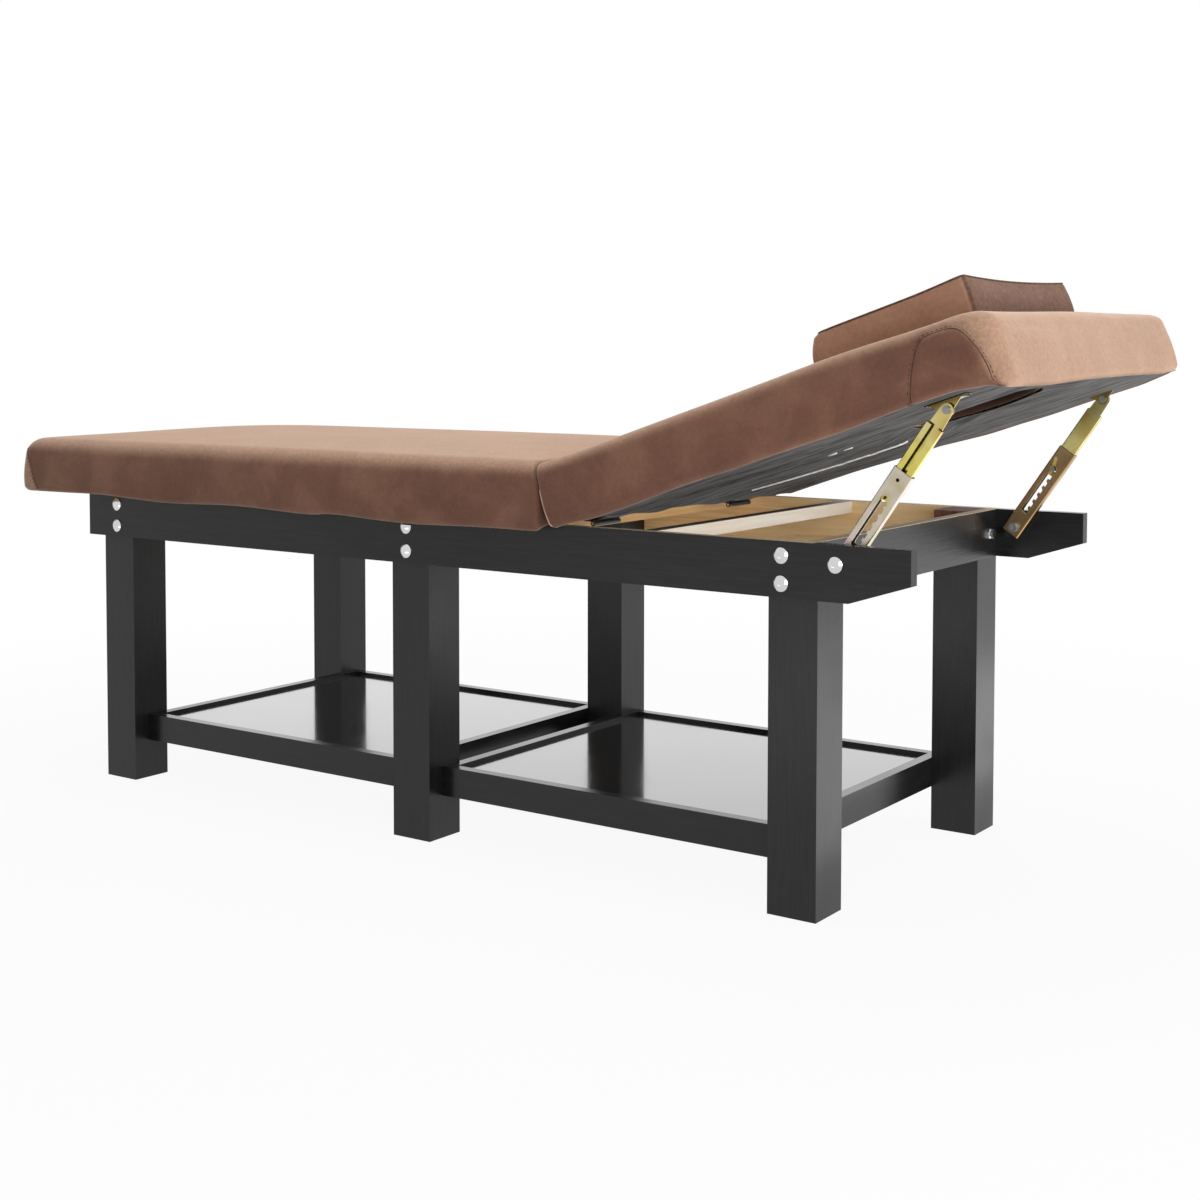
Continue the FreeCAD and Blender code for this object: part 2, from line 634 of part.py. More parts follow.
def back_pad():
    """Board, foam, cover and lining of the backrest, lying flat, by node name."""
    inner = COVER_THICK + SOFT_GAP
    lined_hole = face_hole(FACE_HOLE_RADIUS + inner)
    board = BACK.plate(inner + PAD_BOTTOM_IN, BACK_BOTTOM, BOARD_THICK).cut(lined_hole)
    lining = BACK.plate(LINING_INSET, LINING_BOTTOM, LINING_THICK).cut(lined_hole)
    for start, length in back_screw_places():
        hole = aimed(small_screw(length, BORE_GAP), start, Vector(0, 0, -1))
        board = board.cut(hole)
        lining = lining.cut(hole)
    space = BACK.solid(COVER_THICK).cut(face_hole(FACE_HOLE_RADIUS + COVER_THICK))
    cover = BACK.solid().cut(face_hole(FACE_HOLE_RADIUS)).cut(space)
    return {
        "backrest_board": board,
        "backrest_lining": lining,
        "backrest_foam": above(BACK.solid(inner).cut(lined_hole), BACK_BOTTOM + BOARD_THICK),
        "backrest_cover": hemmed(cover, BACK.x0 - PAD_CORNER, BACK.x1 - PAD_CORNER, BACK_BOTTOM),
    }


def pillow():
    """Cover and foam of the pillow on the flat backrest, by node name."""
    inner = PILLOW.solid(COVER_THICK)
    floor = PILLOW.bottom + COVER_THICK
    return {
        "pillow_cover": PILLOW.solid().cut(above(inner, floor)),
        "pillow_foam": above(PILLOW.solid(COVER_THICK + SOFT_GAP), floor + SOFT_GAP),
    }


# Hinges


def leaf_screw_places(side, way, z):
    """Three screw heads of a leaf that runs from the axis along X times way."""
    y = side * HINGE_SPREAD
    return [
        Vector(HINGE.x + way * LEAF_SCREW_NEAR, y - LEAF_SCREW_SPREAD, z),
        Vector(HINGE.x + way * LEAF_SCREW_NEAR, y + LEAF_SCREW_SPREAD, z),
        Vector(HINGE.x + way * LEAF_SCREW_FAR, y, z),
    ]


def knuckle_spans(side):
    """Y spans of the three knuckles of a hinge: the outer two, then the middle one."""
    y = side * HINGE_SPREAD
    third = LEAF_WIDTH / 6
    outer = [(y - 3 * third, y - third - KNUCKLE_GAP), (y + third + KNUCKLE_GAP, y + 3 * third)]
    return outer, [(y - third, y + third)]


def hinge_leaf(side, way, top, own, other):
    """Screwed plate with its knuckles, cut clear of the other leaf's knuckles."""
    y = side * HINGE_SPREAD
    x0, x1 = sorted((HINGE.x, HINGE.x + way * LEAF_LENGTH))
    plate = box(x0, x1, y - LEAF_WIDTH / 2, y + LEAF_WIDTH / 2, top - LEAF_THICK, top)
    reach = KNUCKLE_RADIUS + 2 * KNUCKLE_GAP
    for y0, y1 in other:
        plate = plate.cut(box(HINGE.x - reach, HINGE.x + reach, y0 - KNUCKLE_GAP, y1 + KNUCKLE_GAP,
                              HINGE.z - reach, top + reach))
    for y0, y1 in own:
        start = Vector(HINGE.x, y0, HINGE.z)
        plate = plate.fuse(rod(KNUCKLE_RADIUS, y1 - y0, start, Vector(0, 1, 0)))
    bore = Vector(HINGE.x, y - LEAF_WIDTH, HINGE.z)
    plate = plate.cut(rod(HINGE_PIN_RADIUS + BORE_GAP, 2 * LEAF_WIDTH, bore, Vector(0, 1, 0)))
    for start in leaf_screw_places(side, way, top - LEAF_THICK):
        plate = plate.cut(aimed(small_screw(LEAF_SCREW_LENGTH, BORE_GAP), start, Vector(0, 0, -1)))
    return plate.removeSplitter()


def hinges():
    """Leaves, pins and screws, by node name. The backrest's pieces lie flat here."""
    fixed = {}
    moving = {}
    pins = []
    seat_screws = []
    for name, side in SIDES.items():
        outer, middle = knuckle_spans(side)
        fixed[f"hinge_seat_leaf_{name}"] = hinge_leaf(side, -1.0, FRAME_HEIGHT, outer, middle)
        moving[f"hinge_backrest_leaf_{name}"] = hinge_leaf(side, 1.0, LINING_BOTTOM, middle, outer)
        start = Vector(HINGE.x, side * HINGE_SPREAD - LEAF_WIDTH / 2, HINGE.z)
        pins.append(rod(HINGE_PIN_RADIUS, LEAF_WIDTH, start, Vector(0, 1, 0)))
        for place in leaf_screw_places(side, -1.0, FRAME_HEIGHT - LEAF_THICK):
            seat_screws.append(aimed(small_screw(LEAF_SCREW_LENGTH), place, Vector(0, 0, -1)))
    fixed["hinge_pins"] = group(pins)
    fixed["hinge_seat_screws"] = group(seat_screws)
    return fixed, moving


# Ratchet struts. A strut is made on the far side: X along it from the lower pivot, Z across it, and
# Y inwards from the rail's inner face as minus values


def strut_span(ear):
    """Length and slope of the line from the lower pivot to an upper pivot."""
    run = ear.x - PIVOT.x
    rise = ear.z - PIVOT.z
    return math.hypot(run, rise), math.degrees(math.atan2(rise, run))


EAR_RAISED = HINGE + Rotation(Vector(0, -1, 0), BACK_TILT).multVec(EAR_FLAT - HINGE)
RAISED_LENGTH, RAISED_SLOPE = strut_span(EAR_RAISED)
FLAT_LENGTH, FLAT_SLOPE = strut_span(EAR_FLAT)
PAWL_RAISED = RAISED_LENGTH - PAWL_FROM_EAR
PAWL_FLAT = FLAT_LENGTH - PAWL_FROM_EAR

# Depths inwards from the rail's inner face
SLEEVE_OUT = STRUT_WASHER
SLEEVE_IN = SLEEVE_OUT + SLEEVE_DEPTH
ROD_OUT = SLEEVE_OUT + STRUT_SHEET + ROD_SIDE_GAP
ROD_IN = SLEEVE_IN - STRUT_SHEET - ROD_SIDE_GAP
EAR_OUT = SLEEVE_IN + SOFT_GAP
EAR_IN = EAR_OUT + EAR_THICK
LAP = (ROD_IN + EAR_OUT) / 2


def layer(x0, x1, out, inward, z0, z1):
    """Block of a strut, between two depths from the rail."""
    return box(x0, x1, -inward, -out, z0, z1)


def obround(x0, z0, x1, z1, radius, out, inward):
    """Slot with round ends between two points, between two depths from the rail."""
    ends = [rod(radius, inward - out, Vector(x, -inward, z), Vector(0, 1, 0))
            for x, z in ((x0, z0), (x1, z1))]
    run = Vector(x1 - x0, 0, z1 - z0)
    span = run.Length
    bar = Part.makeBox(span, inward - out, 2 * radius, Vector(0, -inward, -radius))
    bar.Placement = Placement(Vector(x0, 0, z0), Rotation(Vector(1, 0, 0), run))
    return bar.fuse(ends)


def toothed_slot():
    """Clear lane for the pawl pin, with notches along its lower edge and a release branch on top."""
    half = PAWL_RADIUS + LANE_CLEAR
    out = SLEEVE_IN - STRUT_SHEET - ROD_SIDE_GAP / 2
    inward = SLEEVE_IN + STRUT_SHEET
    slot = obround(PAWL_FLAT, LANE_OFFSET, PAWL_RAISED, LANE_OFFSET, half, out, inward)
    branch = (PAWL_RAISED + RELEASE_LENGTH, LANE_OFFSET + RELEASE_RISE)
    slot = slot.fuse(obround(PAWL_RAISED, LANE_OFFSET, *branch, half, out, inward))
    pitch = (PAWL_RAISED - PAWL_FLAT) / (NOTCH_COUNT - 1)
    floor = LANE_OFFSET - half - PAWL_TRAVEL
    for k in range(NOTCH_COUNT):
        x = PAWL_FLAT + k * pitch
        notch = [(x - half, LANE_OFFSET), (x - half, floor), (x + half, floor),
                 (x + half + NOTCH_SLOPE, LANE_OFFSET)]
        slot = slot.fuse(prism(notch, "y", -inward, inward - out))
    return slot


def strut_sleeve():
    """Pressed-steel channel with the teeth, open at both ends."""
    half = SLEEVE_WIDTH / 2
    wall = STRUT_SHEET
    solid = layer(-SLEEVE_BELOW, SLEEVE_ABOVE, SLEEVE_OUT, SLEEVE_IN, -half, half)
    long_edges = [e for e in solid.Edges if abs(e.Vertexes[0].X - e.Vertexes[1].X) > half]
    solid = solid.makeFillet(SLEEVE_ROUND, long_edges)
    hollow = layer(-2 * SLEEVE_BELOW, 2 * SLEEVE_ABOVE, SLEEVE_OUT + wall, SLEEVE_IN - wall,
                   wall - half, half - wall)
    solid = solid.cut(hollow).cut(toothed_slot())
    edge = WINDOW_WIDTH / 2
    window = obround(WINDOW_START + edge, 0, WINDOW_END - edge, 0, edge, 0, SLEEVE_OUT + 2 * wall)
    solid = solid.cut(window)
    across = SLEEVE_IN + EAR_THICK
    solid = solid.cut(rod(SLEEVE_HOLE_RADIUS, SLEEVE_DEPTH / 2 + SLEEVE_OUT,
                          Vector(SLEEVE_HOLE_AT, 0, 0), Vector(0, -1, 0)))
    return solid.cut(rod(BOLT_RADIUS + TURN_GAP, across, Vector(0, 0, 0), Vector(0, -1, 0)))


def strut_rod():
    """Slit channel that slides in the sleeve, with a flat tongue at its upper end."""
    half = SLEEVE_WIDTH / 2 - STRUT_SHEET - ROD_SIDE_GAP
    wall = STRUT_SHEET
    low = RAISED_LENGTH - ROD_TAIL
    high = RAISED_LENGTH - TONGUE_LENGTH
    solid = layer(low, high, ROD_OUT, ROD_IN, -half, half)
    long_edges = [e for e in solid.Edges if abs(e.Vertexes[0].X - e.Vertexes[1].X) > half]
    solid = solid.makeFillet(SLEEVE_ROUND - wall / 2, long_edges)
    hollow = layer(low - wall, high + wall, ROD_OUT + wall, ROD_IN - wall, wall - half, half - wall)
    solid = solid.cut(hollow)
    solid = solid.cut(layer(low - wall, high + wall, 0, ROD_OUT + 2 * wall, -ROD_SLIT / 2, ROD_SLIT / 2))
    flat = half - SLEEVE_ROUND
    blade = [(high - wall, -flat), (RAISED_LENGTH, -TONGUE_RADIUS), (RAISED_LENGTH, TONGUE_RADIUS),
             (high - wall, flat)]
    solid = solid.fuse(prism(blade, "y", -ROD_IN, TONGUE_THICK))
    tip = Vector(RAISED_LENGTH, -ROD_IN, 0)
    solid = solid.fuse(rod(TONGUE_RADIUS, TONGUE_THICK, tip, Vector(0, 1, 0)))
    solid = solid.cut(rod(RIVET_RADIUS + BORE_GAP, TONGUE_THICK, tip, Vector(0, 1, 0)))
    slot = obround(PAWL_RAISED, LANE_OFFSET, PAWL_RAISED, LANE_OFFSET - PAWL_TRAVEL, PAWL_RADIUS + TURN_GAP,
                   ROD_IN - 2 * wall, ROD_IN + wall)
    return solid.cut(slot).removeSplitter()


def pawl_pin():
    """Pin through the rod and the slot, with a head on each side."""
    inner_head = ROD_IN - STRUT_SHEET - TURN_GAP
    outer_head = SLEEVE_IN + SOFT_GAP

    def disc(radius, depth, thick):
        start = Vector(PAWL_RAISED, -depth, LANE_OFFSET)
        return rod(radius, thick, start, Vector(0, -1, 0))

    pin = disc(PAWL_RADIUS, inner_head - PAWL_HEAD_THICK, outer_head - inner_head + 2 * PAWL_HEAD_THICK)
    pin = pin.fuse(disc(PAWL_HEAD_RADIUS, inner_head - PAWL_HEAD_THICK, PAWL_HEAD_THICK))
    return pin.fuse(disc(PAWL_HEAD_RADIUS, outer_head, PAWL_HEAD_THICK)).removeSplitter()


def rivet_half(centre, plate, away, gap):
    """Head, shank and collar of one half of the upper rivet.

    The plate runs from the depth plate[0] to plate[1]. The head lies on the side that away points to,
    and the collar on the other side ends half a gap short of the lap between the two halves.
    """
    back, front = plate if away > 0 else plate[::-1]
    lap = LAP + away * gap / 2

    def disc(radius, a, b):
        return rod(radius, abs(b - a), Vector(centre.x, -max(a, b), centre.z), Vector(0, 1, 0))

    half = disc(RIVET_HEAD_RADIUS, front, front + away * RIVET_HEAD_THICK)
    half = half.fuse(disc(RIVET_RADIUS, back, front))
    return half.fuse(disc(RIVET_COLLAR_RADIUS, lap, back)).removeSplitter()


def set_strut(shape, side):
    """Strut piece turned to its slope at the raised backrest and set on its rail."""
    placed = shape.copy()
    placed.rotate(Vector(0, 0, 0), Vector(0, -1, 0), RAISED_SLOPE)
    placed.translate(Vector(PIVOT.x, SIDE_Y, PIVOT.z))
    return placed if side > 0 else mirrored(placed)


def bracket_screw_places():
    """Screw heads of the far bracket, on the flat backrest."""
    y = SIDE_Y - EAR_IN - BRACKET_DEPTH / 2
    return [Vector(EAR_FLAT.x + dx, y, BLOCK_BOTTOM - BRACKET_THICK)
            for dx in (-BRACKET_SCREW_SPREAD, BRACKET_SCREW_SPREAD)]


def strut_block():
    """Wooden block between the far bracket and the lining of the flat backrest."""
    outer = SIDE_Y - EAR_OUT
    half = EAR_BASE / 2 + BLOCK_MARGIN
    x = EAR_FLAT.x
    block = box(x - half, x + half, outer - BRACKET_DEPTH, outer, BLOCK_BOTTOM, LINING_BOTTOM)
    for start in bracket_screw_places():
        block = block.cut(aimed(small_screw(BRACKET_SCREW_LENGTH, BORE_GAP), start, Vector(0, 0, -1)))
    return block


def strut_bracket():
    """Angle bracket of the far strut, on the flat backrest: base plate and three-cornered ear."""
    outer = SIDE_Y - EAR_OUT
    half = EAR_BASE / 2
    x = EAR_FLAT.x
    plate = box(x - half, x + half, outer - BRACKET_DEPTH, outer,
                BLOCK_BOTTOM - BRACKET_THICK, BLOCK_BOTTOM)
    side = [(x - half, BLOCK_BOTTOM), (x - EAR_RADIUS, EAR_FLAT.z), (x + EAR_RADIUS, EAR_FLAT.z),
            (x + half, BLOCK_BOTTOM)]
    centre = Vector(x, outer - EAR_THICK, EAR_FLAT.z)
    plate = plate.fuse(prism(side, "y", outer - EAR_THICK, EAR_THICK))
    plate = plate.fuse(rod(EAR_RADIUS, EAR_THICK, centre, Vector(0, 1, 0)))
    plate = plate.cut(rod(RIVET_RADIUS + BORE_GAP, EAR_THICK, centre, Vector(0, 1, 0)))
    for start in bracket_screw_places():
        plate = plate.cut(aimed(small_screw(BRACKET_SCREW_LENGTH, BORE_GAP), start, Vector(0, 0, -1)))
    return plate.removeSplitter()


def back_screw_places():
    """Heads and lengths of all screws that go up into the flat backrest board."""
    places = []
    for side in SIDES.values():
        for start in leaf_screw_places(side, 1.0, LINING_BOTTOM - LEAF_THICK):
            places.append((start, LEAF_SCREW_LENGTH))
        for start in bracket_screw_places():
            places.append((Vector(start.x, side * start.y, start.z), BRACKET_SCREW_LENGTH))
    return places


def rivet_tail():
    """Bracket's half of the far rivet, on the flat backrest."""
    half = rivet_half(EAR_FLAT, (EAR_OUT, EAR_IN), 1.0, SOFT_GAP)
    half.translate(Vector(0, SIDE_Y, 0))
    return half


def pivot_fasteners():
    """Bolts, washers and nuts of the lower pivots, by node name."""
    bolts = []
    washers = []
    nuts = []
    grip = RAIL_THICK + SLEEVE_IN + SOFT_GAP + WASHER_THICK + NUT_HEIGHT
    for side in SIDES.values():
        inward = Vector(0, -side, 0)
        rail_face = Vector(PIVOT.x, side * SIDE_Y, PIVOT.z)
        bolts.append(aimed(domed_bolt(grip), rail_face - inward * RAIL_THICK, -inward))
        hole = rod(BOLT_RADIUS + BORE_GAP, grip, rail_face, inward)
        for depth, thick in ((0.0, STRUT_WASHER), (SLEEVE_IN + SOFT_GAP, WASHER_THICK)):
            washers.append(rod(WASHER_RADIUS, thick, rail_face + inward * depth, inward).cut(hole))
        seat = rail_face + inward * (SLEEVE_IN + SOFT_GAP + WASHER_THICK)
        nuts.append(aimed(hexagon(NUT_HEIGHT, 0), seat, inward).cut(hole))
    return {"pivot_bolts": group(bolts), "pivot_washers": group(washers), "pivot_nuts": group(nuts)}


def struts():
    """Fixed pieces, moving strut pieces and flat backrest pieces of the two struts, by node name."""
    moving = {}
    flat = {
        "rivet_tails": group([rivet_tail(), mirrored(rivet_tail())]),
        "strut_blocks": group([strut_block(), mirrored(strut_block())]),
    }
    rivet_head = rivet_half(Vector(RAISED_LENGTH, 0, 0), (ROD_IN - TONGUE_THICK, ROD_IN), -1.0, SOFT_GAP)
    made = {
        "strut_sleeve": strut_sleeve(),
        "strut_rod": strut_rod(),
        "pawl_pin": pawl_pin(),
        "rivet_head": rivet_head,
    }
    for name, side in SIDES.items():
        for key, shape in made.items():
            moving[f"{key}_{name}"] = set_strut(shape, side)
        flat[f"strut_bracket_{name}"] = strut_bracket() if side > 0 else mirrored(strut_bracket())
    return moving, flat


def backrest_screws():
    """Screws of the hinge leaves and brackets, in the flat backrest, by node name."""
    screws = [aimed(small_screw(length), start, Vector(0, 0, -1)) for start, length in back_screw_places()]
    return {"backrest_screws": group(screws)}


def build():
    """All pieces of the bed with the backrest raised, by node name."""
    pieces = {f"leg_{name}_{side_name}": leg(name, side)
              for name in LEGS for side_name, side in SIDES.items()}
    pieces.update({f"side_rail_{name}": side_rail(side) for name, side in SIDES.items()})
    pieces.update({f"{name}_apron": apron(name) for name in APRONS})
    pieces.update({name: slat(x) for name, x in SLATS.items()})
    for name in BAYS:
        pieces.update(shelf(name))
    pieces.update(frame_fasteners())
    pieces.update(seat_pad())
    hinge_fixed, hinge_moving = hinges()
    strut_moving, strut_flat = struts()
    pieces.update(hinge_fixed)
    pieces.update(pivot_fasteners())
    pieces.update(strut_moving)
    flat_pieces = {**back_pad(), **hinge_moving, **strut_flat, **backrest_screws(), **pillow()}
    pieces.update({name: raised(shape) for name, shape in flat_pieces.items()})
    return pieces


def main():
    """Build the bed, centre it over the origin and write one file for each piece."""
    pieces = build()
    boxes = [pieces[name].optimalBoundingBox(True, False)
             for name in ("seat_cover", "backrest_cover", "pillow_cover")]
    middle = (min(b.XMin for b in boxes) + max(b.XMax for b in boxes)) / 2
    os.makedirs("parts", exist_ok=True)
    for name, shape in pieces.items():
        shape.translate(Vector(-middle, 0, 0))
        if not shape.isValid():
            print("not valid:", name)
        shape.exportStep(f"parts/{name}.step")
    print("pieces", len(pieces), "middle of the length from the foot legs", round(middle, 4))
    print("hinge axis", round(HINGE.x - middle, 4), round(HINGE.z, 4))
    print("lower strut pivot", round(PIVOT.x - middle, 4), round(PIVOT.z, 4))
    print("strut length and slope, raised", round(RAISED_LENGTH, 4), round(RAISED_SLOPE, 4))
    print("strut length and slope, flat", round(FLAT_LENGTH, 4), round(FLAT_SLOPE, 4))


main()
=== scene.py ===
"""Massage bed with a lifting backrest: brown suede pads on a black-lacquered wooden frame.

The CAD frame gives the wood, hinges, struts and fasteners. This script dresses them in their finishes
and replaces the plain soft solids by upholstered pads, a loose pillow and a slack dust lining.
X runs from the foot end to the head end, Y from the near side to the far side and Z up. Sizes are in
millimetres until a mesh is made, and then in metres.
"""
from __future__ import annotations

import json
import logging
import math
from dataclasses import dataclass, replace
from enum import Enum
from fnmatch import fnmatchcase

import bmesh
import bpy
import numpy as np
from mathutils import Matrix, Vector
from mathutils.bvhtree import BVHTree

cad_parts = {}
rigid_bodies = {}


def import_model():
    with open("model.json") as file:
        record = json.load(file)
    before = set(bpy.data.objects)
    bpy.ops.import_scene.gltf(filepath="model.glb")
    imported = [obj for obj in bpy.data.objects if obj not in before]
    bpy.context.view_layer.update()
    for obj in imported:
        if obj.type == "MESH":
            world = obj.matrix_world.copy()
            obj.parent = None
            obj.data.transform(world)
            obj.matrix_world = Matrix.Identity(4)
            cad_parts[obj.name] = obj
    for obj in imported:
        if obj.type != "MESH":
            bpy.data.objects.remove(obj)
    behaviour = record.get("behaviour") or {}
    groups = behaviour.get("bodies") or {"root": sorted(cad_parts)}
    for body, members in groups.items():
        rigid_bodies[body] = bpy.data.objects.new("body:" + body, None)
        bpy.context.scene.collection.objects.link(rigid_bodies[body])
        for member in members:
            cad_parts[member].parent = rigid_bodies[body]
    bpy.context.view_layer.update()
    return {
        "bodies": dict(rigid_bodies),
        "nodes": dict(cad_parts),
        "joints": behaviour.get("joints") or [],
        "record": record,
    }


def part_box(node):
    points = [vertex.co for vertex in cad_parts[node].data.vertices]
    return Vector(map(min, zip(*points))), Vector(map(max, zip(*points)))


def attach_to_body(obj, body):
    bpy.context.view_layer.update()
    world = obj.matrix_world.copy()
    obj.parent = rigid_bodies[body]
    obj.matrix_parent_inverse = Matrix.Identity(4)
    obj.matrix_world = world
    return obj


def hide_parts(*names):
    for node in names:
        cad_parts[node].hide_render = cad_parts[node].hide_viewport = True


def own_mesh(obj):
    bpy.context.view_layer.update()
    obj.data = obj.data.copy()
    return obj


LOG = logging.getLogger("massage_bed")
MM = 0.001
LIGHT_SHADE_ATTRIBUTE = "nap"                     # mesh attribute of painted light and shade: up to 1 where a panel gets its painted light colour by the way it faces, -1 where the face hole is painted as shade
TINY = 1e-9                     # a length under this has no direction
MERGE_MM = 0.05                 # points of a cover that are closer than this become one
PAD_HALF_WIDTH = 362.0          # seat and backrest pads, out to their sides
RAIL_HALF_WIDTH = 346.0         # hems inside this width lie over the frame
HOLE_FROM_HINGE = 542.0         # centre of the face hole, along the backrest
SEAM_RADIUS = 0.7               # cord that fills a seam
SEAM_SINK = 0.2                 # its middle lies this far under the cover
SKYWARD = np.array([0.0, 0.0, 1.0])
Array = np.ndarray
Line = tuple[tuple[float, float], ...]


class Run(Enum):
    """Direction in which a wooden member's grain runs, as stretch factors along X, Y and Z."""

    LENGTHWISE = (0.05, 1.0, 1.0)
    CROSSWISE = (1.0, 0.05, 1.0)
    UPRIGHT = (1.0, 1.0, 0.05)


class Side(Enum):
    """Near and far side of the bed, as the sign of Y."""

    NEAR = -1.0
    FAR = 1.0


def linear(colour: str) -> tuple[float, float, float, float]:
    """Turns an sRGB hex colour into linear RGBA.

    Args:
        colour: Six hex digits after a hash sign.

    Returns:
        Red, green, blue and an alpha of 1.
    """
    parts = [int(colour[k:k + 2], 16) / 255 for k in (1, 3, 5)]
    red, green, blue = (c / 12.92 if c <= 0.04045 else ((c + 0.055) / 1.055) ** 2.4 for c in parts)
    return red, green, blue, 1.0


def per_metre(size_mm: float) -> float:
    """Texture scale at which one feature is that many millimetres wide."""
    return 1.0 / (size_mm * MM)


def add_node(tree: bpy.types.NodeTree, kind: str, settings: dict | None = None,
             links: dict | None = None) -> bpy.types.Node:
    """Adds one shader node with its settings and links.

    Args:
        tree: Node tree of a material or the world.
        kind: The node's class name, without its ShaderNode prefix.
        settings: Attributes of the node by name, or default values of its inputs by name or number.
        links: Output sockets by the name or number of the input that they feed.

    Returns:
        The new node.
    """
    node = tree.nodes.new("ShaderNode" + kind)
    for key, value in (settings or {}).items():
        if isinstance(key, str) and hasattr(node, key):
            setattr(node, key, value)
        else:
            node.inputs[key].default_value = value
    for key, socket in (links or {}).items():
        tree.links.new(socket, node.inputs[key])
    return node


def new_material(name: str,
                 settings: dict) -> tuple[bpy.types.Material, bpy.types.NodeTree, bpy.types.Node]:
    """Makes a material with one shader, whose constant values sit on its own sockets.

    Args:
        name: Name of the finish.
        settings: Values of the Principled shader's inputs.

    Returns:
        The material, its node tree and its shader.
    """
    material = bpy.data.materials.new(name)
    material.use_nodes = True
    tree = material.node_tree
    tree.nodes.clear()
    shader = add_node(tree, "BsdfPrincipled", settings)
    add_node(tree, "OutputMaterial", links={"Surface": shader.outputs["BSDF"]})
    return material, tree, shader


def blend_colours(tree: bpy.types.NodeTree, share: bpy.types.NodeSocket, first: str | bpy.types.NodeSocket,
                  second: str | bpy.types.NodeSocket) -> bpy.types.NodeSocket:
    """Mixes two colours by a share that a pattern gives.

    Args:
        tree: Node tree of the material.
        share: 0 for the first colour, 1 for the second.
        first: Hex colour, or a colour that the tree already has.
        second: The same, for the other end.

    Returns:
        The mixed colour.
    """
    settings: dict = {"data_type": "RGBA"}
    links = {0: share}
    for place, colour in ((6, first), (7, second)):
        if isinstance(colour, str):
            settings[place] = linear(colour)
        else:
            links[place] = colour
    return add_node(tree, "Mix", settings, links).outputs[2]


def spread(tree: bpy.types.NodeTree, pattern: bpy.types.NodeSocket, low: float, high: float,
           to_low: float = 0.0, to_high: float = 1.0) -> bpy.types.NodeSocket:
    """Stretches the part of a pattern between two values over another range, with soft ends."""
    settings = {"interpolation_type": "SMOOTHSTEP", 1: low, 2: high, 3: to_low, 4: to_high}
    return add_node(tree, "MapRange", settings, {0: pattern}).outputs[0]


def relief(tree: bpy.types.NodeTree, shader: bpy.types.Node, height: bpy.types.NodeSocket, depth_mm: float,
           strength: float) -> None:
    """Feeds a height pattern to a shader's normal, at a real depth in millimetres."""
    bump = add_node(tree, "Bump", {"Strength": strength, "Distance": depth_mm * MM}, {"Height": height})
    tree.links.new(bump.outputs[0], shader.inputs["Normal"])


# Finishes


@dataclass(frozen=True)
class Suede:
    """Brushed microfibre suede: short nap that lies in hand-sized lighter and darker patches.

    The eye sees a matt brown whose rims and flat-on-edge faces turn pale, because the nap's tips catch
    light that comes along the surface.
    """

    name: str
    dark: str
    light: str
    brushed: str                # painted light and shade: colour of the top and end panels, set by the way they face
    painted_light_dim: str                # darker mottle within that painted light and shade
    tip: str
    hole_shade_colour: str = "#2E1A14"    # painted shade inside the face hole
    patch_mm: float = 95.0
    nap_mm: float = 5.0         # real nap is under 1 mm, drawn coarser so that it shows
    sheen: float = 0.5
    mottle: float = 0.35        # share of the fine mottling in the colour
    uneven: float = 0.18        # the broad patches shift the share of painted light by up to this

    def material(self) -> bpy.types.Material:
        """Patches of two browns, with painted light and shade where the nap attribute says so, a fine
        mottling and fuzzy relief.
        """
        settings = {"Roughness": 0.92, "Specular IOR Level": 0.12, "Sheen Weight": self.sheen,
                    "Sheen Roughness": 0.42, "Sheen Tint": linear(self.tip)}
        material, tree, shader = new_material(self.name, settings)
        place = add_node(tree, "TexCoord").outputs["Object"]
        patch = add_node(tree, "TexNoise", {"Scale": per_metre(self.patch_mm), "Detail": 3.0,
                                            "Roughness": 0.55, "Distortion": 0.4}, {"Vector": place})
        nap = add_node(tree, "TexNoise", {"Scale": per_metre(self.nap_mm), "Detail": 3.0, "Roughness": 0.7},
                       {"Vector": place})
        broad = spread(tree, patch.outputs[0], 0.30, 0.72)
        fine = spread(tree, nap.outputs[0], 0.25, 0.8)
        share = add_node(tree, "Mix", {0: self.mottle}, {2: broad, 3: fine}).outputs[0]
        colour = blend_colours(tree, share, self.dark, self.light)
        # Painted light and shade: the attribute gives the top and end panels their painted light colour, and
        # the face hole its painted shade.
        light_shade_share = add_node(tree, "Attribute", {"attribute_name": LIGHT_SHADE_ATTRIBUTE}).outputs["Fac"]
        # Painted shade: where the attribute falls below 0, in the face hole, the colour turns dark.
        bare = spread(tree, light_shade_share, 0.0, -1.0)
        light_shade_share = add_node(tree, "Math", {"operation": "MULTIPLY_ADD", 1: self.uneven},
                       {0: broad, 2: light_shade_share}).outputs[0]
        light_shade_share = add_node(tree, "Math", {"operation": "SUBTRACT", 1: self.uneven / 2, "use_clamp": True},
                       {0: light_shade_share}).outputs[0]
        brushed = blend_colours(tree, fine, self.painted_light_dim, self.brushed)
        colour = blend_colours(tree, light_shade_share, colour, brushed)
        colour = blend_colours(tree, bare, colour, self.hole_shade_colour)
        tree.links.new(colour, shader.inputs["Base Color"])
        relief(tree, shader, nap.outputs[0], 0.6, 0.35)
        return material


